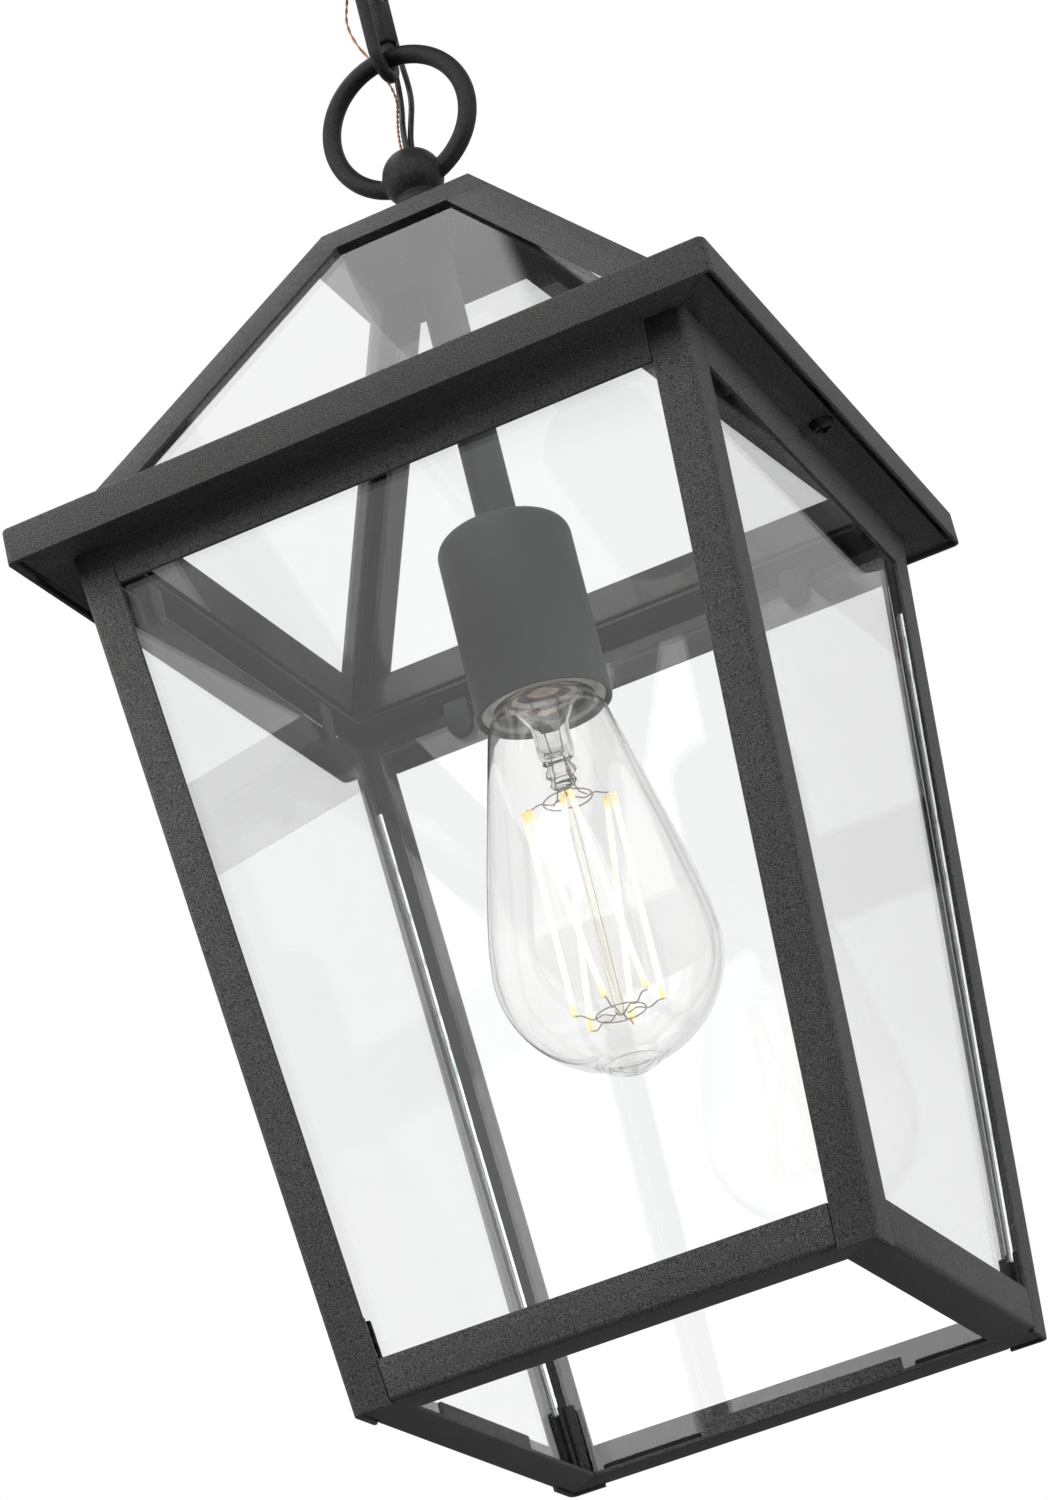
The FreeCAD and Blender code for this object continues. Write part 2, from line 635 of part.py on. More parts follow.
def hanging_loop():
    """The ring, ball and flared neck, cast in one, tapped below and with a wireway on top."""
    middle = (ROOF_RISE + NECK_TOP) / 2
    waist = NECK_TOP_R + (NECK_BASE_R - NECK_TOP_R) * 0.22
    start = -math.degrees(math.acos(NECK_TOP_R / BALL_R))
    body = revolved([(0, ROOF_RISE), (NECK_BASE_R, ROOF_RISE), (waist, middle),
                     (NECK_TOP_R, NECK_TOP)] + steps(0, BALL_CENTRE, BALL_R, start, 90, BALL_STEPS))
    cast = body.fuse(wire_ring(RING_R, RING_WIRE_R, RING_CENTRE, RING_RUNS)).removeSplitter()
    cast = cast.cut(rod(TUBE_R + THREAD_FIT, ROOF_RISE - SHEET, TUBE_TOP + THREAD_FIT))
    return cast.cut(rod(BALL_BORE_R, TUBE_TOP, BALL_CENTRE + 2 * BALL_R))


def canopy_loop():
    """The ceiling loop: a smaller ring on a ball, with a flat collar under the canopy."""
    collar_foot = CANOPY_FOOT - LOOP_COLLAR_H
    end = math.degrees(math.asin((collar_foot - LOOP_BALL) / LOOP_BALL_R))
    body = revolved(steps(0, LOOP_BALL, LOOP_BALL_R, -90, end, BALL_STEPS)
                    + [(LOOP_COLLAR_R - LOOP_COLLAR_EDGE, collar_foot),
                       (LOOP_COLLAR_R, collar_foot + LOOP_COLLAR_EDGE),
                       (LOOP_COLLAR_R, CANOPY_FOOT), (0, CANOPY_FOOT)])
    cast = body.fuse(wire_ring(LOOP_R, LOOP_WIRE_R, LOOP_CENTRE, LOOP_RUNS)).removeSplitter()
    cast = cast.cut(rod(TUBE_R + THREAD_FIT, collar_foot, CANOPY_FOOT + SHEET))
    return cast.cut(rod(LOOP_BORE_R, LOOP_CENTRE, CANOPY_FOOT))


def link_rod():
    """The bent rod of the quick link, with its mouth open behind the sleeve."""
    low = [(y, LINK_LOW_BEND + z) for y, z in bend_points(LINK_BEND_R, 0, -180, LINK_RUNS)]
    high = [(y, LINK_HIGH_BEND + z) for y, z in bend_points(LINK_BEND_R, 180, 0, LINK_RUNS)]
    # the bends' own first and last points are dropped where a straight leg carries on from them
    route = [(LINK_BEND_R, MOUTH_FOOT)] + low[1:-1] + high[1:-1]
    route.append((LINK_BEND_R, MOUTH_FOOT + LINK_MOUTH))
    return bent([(0, y, z) for y, z in route], LINK_WIRE_R)


def link_sleeve():
    """The hexagonal sleeve that closes the link's mouth, with chamfered ends."""
    low, high = SLEEVE_FOOT, SLEEVE_FOOT + SLEEVE_LENGTH
    wide, narrow = (hexagon_points(f) for f in (SLEEVE_FLATS, SLEEVE_FLATS - SLEEVE_CHAMFER))
    levels = [(narrow, low), (wide, low + SLEEVE_CHAMFER), (wide, high - SLEEVE_CHAMFER),
              (narrow, high)]
    slices = [between([(*p, z0) for p in ring0], [(*p, z1) for p in ring1])
              for (ring0, z0), (ring1, z1) in zip(levels, levels[1:])]
    sleeve = slices[0].fuse(slices[1:]).removeSplitter()
    sleeve = sleeve.cut(rod(LINK_WIRE_R + SLEEVE_FIT, low - 1, high + 1))
    sleeve.translate(Vec(0, LINK_BEND_R, 0))
    return sleeve


def canopy():
    """A round dished cover, open above, bored for the threaded tube."""
    curve = CANOPY_HEIGHT - CANOPY_RIM
    bore, middle = TUBE_R + THREAD_FIT, CANOPY_R - curve
    turn_from = CEILING - CANOPY_RIM
    outer = steps(middle, turn_from, curve, -90, 0, ROUND_STEPS)
    inner = steps(middle, turn_from, curve - CANOPY_WALL, 0, -90, ROUND_STEPS)
    return revolved([(bore, CANOPY_FOOT)] + outer + [(CANOPY_R, CEILING)]
                    + [(CANOPY_R - CANOPY_WALL, CEILING)] + inner
                    + [(bore, CANOPY_FOOT + CANOPY_WALL)])


def crossbar():
    """The flat bar that screws to the ceiling box, tapped in the middle."""
    half, wide = BAR_LENGTH / 2, BAR_WIDTH / 2
    low = CEILING - BAR_SHEET
    solid = bar(-half, half, -wide, wide, low, CEILING)
    solid = rounded(solid, wide * 0.5, lambda e: along_z(e, half, wide, 1e-3)
                    if abs(ends(e)[0].z - ends(e)[-1].z) > 1 else False)
    holes = [rod(TUBE_R + THREAD_FIT, low - 1, CEILING + 1)]
    for sign in (-1, 1):
        holes.append(rod(BOX_SCREW_R, low - 1, CEILING + 1, sign * BOX_SCREW_SPACING / 2))
    return solid.cut(Part.makeCompound(holes))


def locknut(top):
    """A hexagon nut on the threaded tube, its upper face at top."""
    nut = hexagon(NUT_FLATS, top - NUT_HEIGHT, top)
    return nut.cut(rod(TUBE_R + THREAD_FIT, top - NUT_HEIGHT - 1, top + 1))


# ---------------------------------------------------------------- stem, socket and lamp

def socket_cup():
    """A drawn cup over the socket, with a rounded shoulder."""
    bore, inside, turn_at = TUBE_R + THREAD_FIT, CUP_ROUND - CUP_WALL, CUP_TOP - CUP_ROUND
    outer = steps(CUP_R - CUP_ROUND, turn_at, CUP_ROUND, 90, 0, ROUND_STEPS)
    inner = steps(CUP_R - CUP_ROUND, turn_at, inside, 0, 90, ROUND_STEPS)
    return revolved([(bore, CUP_TOP)] + outer + [(CUP_R, CUP_RIM), (CUP_R - CUP_WALL, CUP_RIM)]
                    + inner + [(bore, CUP_TOP - CUP_WALL)])


def socket_porcelain():
    """The glazed body that holds the screw shell, with a boss up to the cup's nut."""
    chamfer = PORCELAIN_BORE_R - SHELL_R
    seat = SHELL_R + SEAT_FIT
    solid = revolved([
        (PORCELAIN_BORE_R + chamfer, PORCELAIN_FOOT), (PORCELAIN_R, PORCELAIN_FOOT),
        (PORCELAIN_R, PORCELAIN_TOP), (PORCELAIN_BOSS_R, PORCELAIN_TOP),
        (PORCELAIN_BOSS_R, NUT_TOP - NUT_HEIGHT), (0, NUT_TOP - NUT_HEIGHT), (0, BORE_TOP),
        (seat, BORE_TOP), (seat, BORE_TOP - SHELL_LENGTH - TONGUE_CONTACT_H),
        (PORCELAIN_BORE_R, BORE_TOP - SHELL_LENGTH - TONGUE_CONTACT_H),
        (PORCELAIN_BORE_R, PORCELAIN_FOOT + chamfer)])
    return solid


def socket_shell():
    """The brass screw shell, with its thread left out."""
    return tube(SHELL_R, SHELL_R - SHELL_WALL, BORE_TOP - SHELL_LENGTH - TONGUE_CONTACT_H,
                BORE_TOP - TONGUE_CONTACT_H / 2)


def centre_contact():
    return rod(TONGUE_CONTACT_R, BORE_TOP - TONGUE_CONTACT_H, BORE_TOP)


def lamp_outline(inset):
    """Points of the lamp's glass from its neck down to its tip, moved in by a wall."""
    flank = [(LAMP_NECK_R, LAMP_NECK_TOP), LAMP_SHOULDER, LAMP_CONE, LAMP_CONE_END]
    radius = LAMP_RADIUS - inset
    meets = math.degrees(math.acos(LAMP_PIP_R / radius))
    end = steps(0, LAMP_WIDEST, radius, 0, -meets, BALL_STEPS)
    foot = end[-1][1]
    pip = [(LAMP_PIP_R * 0.72 - inset / 2, foot - LAMP_PIP_H * 0.6), (0, foot - LAMP_PIP_H)]
    return [(r - inset, z) for r, z in flank] + end + pip


def lamp_glass():
    """The pear-shaped envelope: a flared neck, a long cone and a round end."""
    over = LAMP_NECK_TOP + LAMP_WALL
    inner = lamp_outline(LAMP_WALL)
    hollow = revolved([(0, over), (inner[0][0], over)] + inner)
    return revolved([(0, LAMP_NECK_TOP)] + lamp_outline(0.0)).cut(hollow)


def lamp_cap():
    """The brass cap of the lamp, with its thread left out."""
    return tube(CAP_R, CAP_R - SHELL_WALL, LAMP_NECK_TOP, CAP_TOP)


def cap_insulator():
    """The black glass cone that closes the cap."""
    return revolved([(0, CAP_TOP), (CAP_R, CAP_TOP), (CAP_TIP_R, CAP_TOP + CAP_CONE),
                     (0, CAP_TOP + CAP_CONE)])


def cap_contact():
    low = CAP_TOP + CAP_CONE
    edge = CAP_CONTACT_H * 0.5
    return revolved([(0, low), (CAP_CONTACT_R, low), (CAP_CONTACT_R, low + edge),
                     (CAP_CONTACT_R - edge, low + CAP_CONTACT_H), (0, low + CAP_CONTACT_H)])


def lamp_stem():
    """The glass mount: a flare in the neck, a pinch, and a thin rod down the middle."""
    top = LAMP_NECK_TOP - LAMP_WALL
    flare = LAMP_NECK_R - LAMP_WALL - SEAT_FIT
    waist = top - LAMP_FLARE_H
    return revolved([
        (0, top), (flare, top), (LAMP_STEM_R + (flare - LAMP_STEM_R) * 0.3, top - LAMP_FLARE_H * 0.3),
        (LAMP_STEM_R, waist), (LAMP_STEM_R, LAMP_TUBE_END),
        (LAMP_PINCH_R, LAMP_TUBE_END - LAMP_PINCH_H), (LAMP_PINCH_R, LAMP_PINCH_END),
        (LAMP_ROD_R, LAMP_PINCH_END - LAMP_PINCH_H), (LAMP_ROD_R, LOWER_RING - LAMP_WIRE_R),
        (0, LOWER_RING - LAMP_WIRE_R)])


def lamp_ends(pairs, height, rises=None):
    """Places round the lamp's axis, turned with its supports."""
    turn = math.radians(FILAMENT_TURN)
    rises = rises or [0.0] * len(pairs)
    return [Vec(x * math.cos(turn) - y * math.sin(turn), x * math.sin(turn) + y * math.cos(turn),
                height + rise) for (x, y), rise in zip(pairs, rises)]


def stick(start, end, radius):
    way = end - start
    return Part.makeCylinder(radius, way.Length, start, way)


def thin_wire(start, end, radius):
    """A thin wire as a six-sided bar."""
    way = end - start
    side = way.cross(Vec(0, 0, 1)).normalize()
    up = side.cross(way).normalize()
    ring = [start + side * a + up * b for a, b in around(radius, 6)]
    return Part.Face(Part.makePolygon(ring + ring[:1])).extrude(way)


def lamp_supports():
    """A wire ring near each end of the rod, with an arm to each filament end."""
    wires = []
    for height, tips in ((UPPER_RING, lamp_ends(UPPER_ENDS, UPPER_RING)),
                         (LOWER_RING, lamp_ends(LOWER_ENDS, LOWER_RING, LOWER_RISES))):
        low, high = height - LAMP_WIRE_R, height + LAMP_WIRE_R
        outer, inner = (plate(around(LAMP_RING_R + w, LAMP_RING_SIDES), low, high)
                        for w in (LAMP_WIRE_R, -LAMP_WIRE_R))
        wires.append(outer.cut(inner))
        for tip in tips:
            way = Vec(tip.x, tip.y, 0).normalize()
            start = way * (LAMP_ROD_R + SEAT_FIT) + Vec(0, 0, height)
            wires.append(thin_wire(start, tip, LAMP_WIRE_R))
    return wires[0].fuse(wires[1:])


def filaments():
    """Six straight filaments, two from each upper arm."""
    upper = lamp_ends(UPPER_ENDS, UPPER_RING)
    lower = lamp_ends(LOWER_ENDS, LOWER_RING, LOWER_RISES)
    pairs = ((0, 0), (0, 1), (1, 2), (1, 3), (2, 4), (2, 5))
    sticks = []
    for high, low in pairs:
        way = (upper[high] - lower[low]).normalize()
        aside = (lower[low] - Vec(0, 0, lower[low].z)) - (upper[high] - Vec(0, 0, upper[high].z))
        aside = aside.normalize() * (FILAMENT_R + 0.2) if aside.Length else Vec(0, 0, 0)
        start = lower[low] + way * (LAMP_WIRE_R + 0.1)
        end = upper[high] - way * (LAMP_WIRE_R + 1.0) + aside
        sticks.append(stick(start, end, FILAMENT_R))
    return Part.makeCompound(sticks)


# ---------------------------------------------------------------- leads

# Routes start in the ball's wireway, pass behind the link and end in the ceiling loop's wireway.
LEAD_A_LOW = [(0.5, -1.1, 122.0), (0.5, -1.1, 129.0), (0.2, 1.6, 137.0), (-0.4, 6.6, 145.0),
              (-1.0, 10.6, 154.0), (-1.2, 12.2, 164.0), (-1.2, 12.2, 174.0)]
LEAD_B_LOW = [(1.2, 1.2, 122.0), (1.2, 1.2, 129.0), (3.2, 3.4, 137.5), (4.6, 7.4, 146.0),
              (3.4, 11.2, 155.0), (1.2, 12.4, 165.0), (1.2, 12.4, 174.0)]
GROUND_LOW = [(-1.6, 0.3, 122.0), (-1.6, 0.3, 128.0), (-2.2, 2.0, 135.0), (-2.6, 5.8, 143.5),
              (-3.4, 9.4, 152.0), (-3.5, 11.8, 162.0), (-3.5, 11.8, 174.0)]
LEAD_A_HIGH = [(-1.2, 12.2, 174.0), (-1.2, 12.2, 184.0), (-1.0, 10.6, 194.0), (-0.4, 5.6, 202.0),
               (-0.4, -0.9, 207.5), (-0.5, -1.1, 214.0)]
LEAD_B_HIGH = [(1.2, 12.4, 174.0), (1.2, 12.4, 184.0), (1.6, 11.4, 195.0), (2.0, 7.0, 203.4),
               (1.8, 0.6, 208.5), (1.6, 0.4, 215.0)]
GROUND_HIGH = [(-3.5, 11.8, 174.0), (-3.5, 11.8, 182.0), (-5.2, 11.2, 191.5), (-4.2, 6.6, 200.5),
               (-2.1, 1.2, 206.5), (-1.9, 1.0, 214.0)]


# ---------------------------------------------------------------- the whole lantern

def pieces():
    made = {
        "canopy": canopy(),
        "crossbar": crossbar(),
        "mount_nipple": tube(TUBE_R, TUBE_BORE_R, CANOPY_FOOT - LOOP_COLLAR_H + THREAD_FIT,
                             CEILING - THREAD_FIT),
        "nipple_locknut": locknut(CEILING - BAR_SHEET),
        "canopy_loop": canopy_loop(),
        "link_rod": link_rod(),
        "link_sleeve": link_sleeve(),
        "hanging_loop": hanging_loop(),
        "roof_cap": roof_cap(),
        "roof_sills": roof_sills(),
        "eave": eave(),
        "eave_spacers": spacers(),
        "soffit_screws": soffit_screws(),
        "glass_tongues": glass_tongues(),
        "corner_pads": corner_pads(),
        "glass_sealant": sealant(),
        "stem_tube": tube(STEM_R, STEM_R - STEM_WALL, CUP_TOP, ROOF_RISE - SHEET),
        "threaded_tube": tube(TUBE_R, TUBE_BORE_R, NUT_TOP - NUT_HEIGHT + THREAD_FIT, TUBE_TOP),
        "cup_locknut": locknut(NUT_TOP),
        "socket_cup": socket_cup(),
        "socket_porcelain": socket_porcelain(),
        "socket_shell": socket_shell(),
        "socket_contact": centre_contact(),
        "lamp_glass": lamp_glass(),
        "lamp_cap": lamp_cap(),
        "lamp_cap_insulator": cap_insulator(),
        "lamp_cap_contact": cap_contact(),
        "lamp_stem": lamp_stem(),
        "lamp_supports": lamp_supports(),
        "lamp_filaments": filaments(),
        "lead_a_low": cord(LEAD_A_LOW, LEAD_R, "lead_a_low"),
        "lead_b_low": cord(LEAD_B_LOW, LEAD_R, "lead_b_low"),
        "ground_low": cord(GROUND_LOW, GROUND_R, "ground_low"),
        "lead_a_high": cord(LEAD_A_HIGH, LEAD_R, "lead_a_high"),
        "lead_b_high": cord(LEAD_B_HIGH, LEAD_R, "lead_b_high"),
        "ground_high": cord(GROUND_HIGH, GROUND_R, "ground_high"),
    }
    for side in SIDES:
        made[f"foot_rail_{side}"] = foot_rail(side)
        made[f"top_rail_{side}"] = top_rail(side)
        made[f"pane_{side}"] = body_pane(side)
        made[f"roof_pane_{side}"] = roof_pane(side)
    for corner, (sx, sy) in CORNERS.items():
        made[f"post_{corner}"] = post(sx, sy)
        made[f"hip_{corner}"] = hip(sx, sy)
    return made


def main():
    os.makedirs("parts", exist_ok=True)
    made = pieces()
    for name, shape in made.items():
        shape.translate(Vec(0, 0, -CEILING))
        if not shape.isValid():
            print("not valid:", name)
        shape.exportStep(f"parts/{name}.step")
    print(len(made), "pieces; ceiling", round(CEILING, 2), "above the eave")


main()
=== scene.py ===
# %% [markdown]
# # A hanging lantern, dressed around its frame
# The lantern is sheet metal, flat glass, a cast ring and one filament lamp. The frame that is
# loaded here already has every real piece in its real place. Each piece gets the small forms and
# the finish that the plain solids leave out: broken edges, powder coat, ground glass edges.

import math

import bmesh
import bpy
import numpy as np
from mathutils import Matrix, Vector


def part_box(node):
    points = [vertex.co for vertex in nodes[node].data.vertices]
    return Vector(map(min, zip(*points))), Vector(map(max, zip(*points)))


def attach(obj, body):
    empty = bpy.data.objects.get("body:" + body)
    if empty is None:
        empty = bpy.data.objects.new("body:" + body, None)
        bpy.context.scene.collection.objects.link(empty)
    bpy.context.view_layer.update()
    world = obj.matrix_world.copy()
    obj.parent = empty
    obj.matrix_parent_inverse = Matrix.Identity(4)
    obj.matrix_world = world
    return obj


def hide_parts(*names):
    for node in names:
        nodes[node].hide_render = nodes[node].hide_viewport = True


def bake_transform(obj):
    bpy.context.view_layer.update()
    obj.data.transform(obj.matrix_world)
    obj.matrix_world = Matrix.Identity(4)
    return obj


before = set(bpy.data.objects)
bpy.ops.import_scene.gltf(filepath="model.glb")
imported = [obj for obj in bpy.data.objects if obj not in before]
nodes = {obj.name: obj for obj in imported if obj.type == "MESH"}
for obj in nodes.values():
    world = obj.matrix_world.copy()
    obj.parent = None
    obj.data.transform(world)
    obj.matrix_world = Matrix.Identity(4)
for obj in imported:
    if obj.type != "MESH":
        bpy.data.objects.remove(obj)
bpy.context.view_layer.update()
scene = bpy.context.scene
scene.view_settings.view_transform = "Standard"
MM = 0.001
print("pieces in the frame:", len(nodes))

# %% [markdown]
# ## The camera
# The lantern is seen from below and from a little to the right, and the view is rolled, so that
# the lantern seems to lean. A long lens keeps the upright lines nearly parallel. The camera is
# placed by two angles and a distance from a point inside the lantern.

# %% Camera
AZIMUTH = math.radians(18.072)
ELEVATION = math.radians(-23.542)
ROLL = math.radians(-13.888)
DISTANCE = 1.19338
AIM = Vector((-0.00932, 0.00001, -0.32003))
LENS = 146.119


def view_axes(azimuth, elevation, roll):
    """The camera's right, up and backward directions."""
    back = Vector((math.sin(azimuth) * math.cos(elevation),
                   -math.cos(azimuth) * math.cos(elevation), math.sin(elevation)))
    right = (-back).cross(Vector((0, 0, 1))).normalized()
    up = right.cross(-back)
    return (right * math.cos(roll) + up * math.sin(roll),
            up * math.cos(roll) - right * math.sin(roll), back)


RIGHT, UP, BACK = view_axes(AZIMUTH, ELEVATION, ROLL)
camera = bpy.data.objects.new("camera", bpy.data.cameras.new("camera"))
scene.collection.objects.link(camera)
camera.matrix_world = Matrix.Translation(AIM + BACK * DISTANCE) @ Matrix(
    (RIGHT, UP, BACK)).transposed().to_4x4()
camera.data.sensor_fit = "HORIZONTAL"
camera.data.sensor_width = 36.0
camera.data.lens = LENS
scene.camera = camera
print("camera at", [round(v, 3) for v in camera.location])

# %% [markdown]
# ## Helpers for shader nodes
# Every finish is made of nodes. A short helper adds a node, sets its sockets and links what it is
# given, so that a material reads as a list of what is in it.

# %% Node helpers
def add(tree, kind, **sockets):
    """Adds a node, sets its sockets to values and links them to other nodes' outputs.

    A key that starts with _ is a setting of the node, and n with a number is a socket's place.
    A node as a value stands for its first output.
    """
    node = tree.nodes.new(kind)
    for key, value in sockets.items():
        if key.startswith("_"):
            setattr(node, key[1:], value)
            continue
        socket = node.inputs[int(key[1:]) if key[0] == "n" and key[1:].isdigit() else
                             key.replace("_", " ")]
        if isinstance(value, bpy.types.Node):
            value = value.outputs[0]
        if isinstance(value, bpy.types.NodeSocket):
            tree.links.new(value, socket)
        else:
            socket.default_value = value
    return node


def new_group(name, kind, inputs, outputs):
    """A node group, what comes in and what goes out: (name, socket type, default)."""
    tree = bpy.data.node_groups.new(name, kind)
    for title, socket, default in inputs:
        made = tree.interface.new_socket(title, in_out="INPUT", socket_type=socket)
        if default is not None:
            made.default_value = default
    for title, socket in outputs:
        tree.interface.new_socket(title, in_out="OUTPUT", socket_type=socket)
    return (tree, tree.nodes.new("NodeGroupInput").outputs,
            tree.nodes.new("NodeGroupOutput").inputs)


def new_material(name):
    """A material and its node tree, which is empty."""
    material = bpy.data.materials.new(name)
    material.use_nodes = True
    material.node_tree.nodes.clear()
    return material, material.node_tree


def ended(material, shader):
    """The material, with a shader joined to its output."""
    add(material.node_tree, "ShaderNodeOutputMaterial", Surface=shader)
    print("finish:", material.name)
    return material


def surfaced(material, **sockets):
    """The material, ended by one Principled shader with these sockets."""
    return ended(material, add(material.node_tree, "ShaderNodeBsdfPrincipled", **sockets))


def maths(tree, operation, *values):
    """The output of a Math node that is given numbers or other nodes' outputs."""
    return add(tree, "ShaderNodeMath", _operation=operation,
               **{f"n{i}": value for i, value in enumerate(values)}).outputs[0]


def object_place(tree):
    """The place on a piece, in metres."""
    return add(tree, "ShaderNodeTexCoord").outputs["Object"]


def noise(tree, scale, detail=2.0, place=None, **sockets):
    """A soft noise over a piece, from 0 to 1."""
    return add(tree, "ShaderNodeTexNoise", Scale=scale, Detail=detail,
               Vector=object_place(tree) if place is None else place, **sockets).outputs["Fac"]


def mapped(tree, value, low, high, at_low=0.0, at_high=1.0, **settings):
    """A value between low and high, moved to between at_low and at_high."""
    return add(tree, "ShaderNodeMapRange", Value=value, From_Min=low, From_Max=high,
               To_Min=at_low, To_Max=at_high, **settings).outputs[0]


def halfway(a, b):
    """The colour in the middle of two."""
    return [(x + y) / 2 for x, y in zip(a, b)]


def ramp(tree, factor, *stops):
    """A colour ramp from (position, grey or colour) stops."""
    node = add(tree, "ShaderNodeValToRGB", Fac=factor)
    elements = node.color_ramp.elements
    while len(elements) < len(stops):
        elements.new(0.5)
    for element, (position, colour) in zip(elements, stops):
        element.position = position
        element.color = (*(colour if hasattr(colour, "__len__") else (colour,) * 3), 1)
    return node.outputs["Color"]


FLOAT, WHOLE, MATERIAL, SHAPE = (f"NodeSocket{kind}" for kind in (
    "Float", "Int", "Material", "Geometry"))
BUMP = 0.2 * MM

# %% [markdown]
# ## The sand texture of a powder coat
# Powder coat is sprayed on dry and melts in an oven. The textured kind sets in tiny grains with
# flat spots between them. The grain shows as a faint speckle of lighter and darker spots and as
# a fine bump. The same grain suits every coated piece, so it is a node group: it gives a mask for
# colour and gloss, a height for the bump, and wide patches that vary the tone a little.

# %% Grain group
grain_group, given, result = new_group(
    "sand_grain", "ShaderNodeTree",
    [("Grain", FLOAT, 2200.0), ("Patches", FLOAT, 45.0)],
    [("Mask", FLOAT), ("Height", FLOAT), ("Patch", FLOAT)])
place = object_place(grain_group)
fine = noise(grain_group, given["Grain"], 2.0, place, Roughness=0.6)
cells = add(grain_group, "ShaderNodeTexVoronoi", Vector=place, Scale=given["Grain"])
wide = noise(grain_group, given["Patches"], 3.0, place, Roughness=0.55)
height = maths(grain_group, "MULTIPLY_ADD", cells.outputs["Distance"], -0.35,
               maths(grain_group, "MULTIPLY", fine, 0.7))
for title, value in (("Mask", fine), ("Height", height), ("Patch", wide)):
    grain_group.links.new(value, result[title])


COAT_SHINE = 0.28


def powder_coat(name, dark, light, bump, grain=3200.0, rough=(0.5, 0.66)):
    """A matt textured coat between two greys."""
    material, tree = new_material(name)
    group = add(tree, "ShaderNodeGroup", _node_tree=grain_group, Grain=grain)
    mask = group.outputs["Mask"]
    speckled = ramp(tree, mask, (0.38, dark), (0.5, halfway(dark, light)), (0.62, light))
    cloud = ramp(tree, group.outputs["Patch"], (0.3, 0.88), (0.7, 1.0))
    colour = add(tree, "ShaderNodeMix", _data_type="RGBA", _blend_type="MULTIPLY", n0=1.0,
                 n6=speckled, n7=cloud)
    relief = add(tree, "ShaderNodeBump", Strength=bump, Distance=BUMP,
                 Height=group.outputs["Height"])
    return surfaced(material, Base_Color=colour.outputs[2], Normal=relief,
                    Roughness=mapped(tree, mask, 0.3, 0.7, rough[1], rough[0]),
                    Specular_IOR_Level=COAT_SHINE)


COAT_DARK = (0.009, 0.009, 0.009)
COAT = powder_coat("charcoal_powder_coat", COAT_DARK, (0.093, 0.091, 0.09), bump=0.7)
COAT_FINE = powder_coat("charcoal_coat_fine", (0.03, 0.031, 0.032), (0.044, 0.045, 0.047),
                        bump=0.05)
COAT_CAST = powder_coat("charcoal_coat_cast", COAT_DARK, (0.02, 0.02, 0.02), bump=0.03,
                        grain=1500.0, rough=(0.34, 0.42))

# %% [markdown]
# ## Glass
# Window glass is clear. A blown lamp is clear in its middle and has painted shade towards its
# outline, where it curves away from the view.
# Rays that come from the lamps pass straight through, so the inside of the lantern is lit as it
# is in a real room. The upright ends of the side panes are ground white and streaked, partly with
# painted glints, and they have a painted glow that stands in for light carried inside the glass.
# They are black, without the painted glow, where the pads grip them at the foot and where the
# sealant does at the head.

# %% Glass materials
def see_through(name, tint, rim=None, waves=None):
    """Glass that lets lamp rays through unbent. A blown piece has painted shade at its rim, and is
    wavy.
    """
    material, tree = new_material(name)
    shader = add(tree, "ShaderNodeBsdfPrincipled", Base_Color=(*tint, 1), Roughness=0.0, IOR=1.5,
                 Transmission_Weight=1.0)
    # Painted shade: where a blown piece faces away from the view, its colour darkens to the rim
    # colour.
    if rim:
        painted_rim_shade_mask = add(tree, "ShaderNodeLayerWeight", Blend=0.5).outputs["Facing"]
        shade = ramp(tree, painted_rim_shade_mask, (0.6, tint), (0.86, halfway(tint, rim)), (0.98, rim))
        tree.links.new(shade, shader.inputs["Base Color"])
    if waves:
        scale, strength = waves
        relief = add(tree, "ShaderNodeBump", Strength=strength, Distance=1 * MM,
                     Height=noise(tree, scale, 1.0))
        tree.links.new(relief.outputs[0], shader.inputs["Normal"])
    clear = add(tree, "ShaderNodeBsdfTransparent", Color=(*(0.5 + 0.5 * t for t in tint), 1))
    path = add(tree, "ShaderNodeLightPath").outputs
    return ended(material, add(tree, "ShaderNodeMixShader", Fac=path["Is Shadow Ray"],
                               n1=shader, n2=clear))


PANE = see_through("pane_glass", (0.972, 0.977, 0.975))
# The lamp's envelope, its stem and its rod get painted shade at their rims.
LAMP_GLASS = see_through("lamp_glass", (0.985, 0.985, 0.98), rim=(0.5, 0.5, 0.5),
                         waves=(42.0, 0.05))
STEM_GLASS = see_through("lamp_stem_glass", (0.97, 0.965, 0.95), rim=(0.4, 0.37, 0.33),
                         waves=(160.0, 0.12))
ROD_GLASS = see_through("lamp_rod_glass", (0.96, 0.93, 0.86), rim=(0.5, 0.4, 0.28))
PAD_GRIP, SEALANT_GRIP = 20 * MM, 22 * MM
# The strength of the painted glow on the side panes' ground ends.
PAINTED_EDGE_GLOW = 0.9


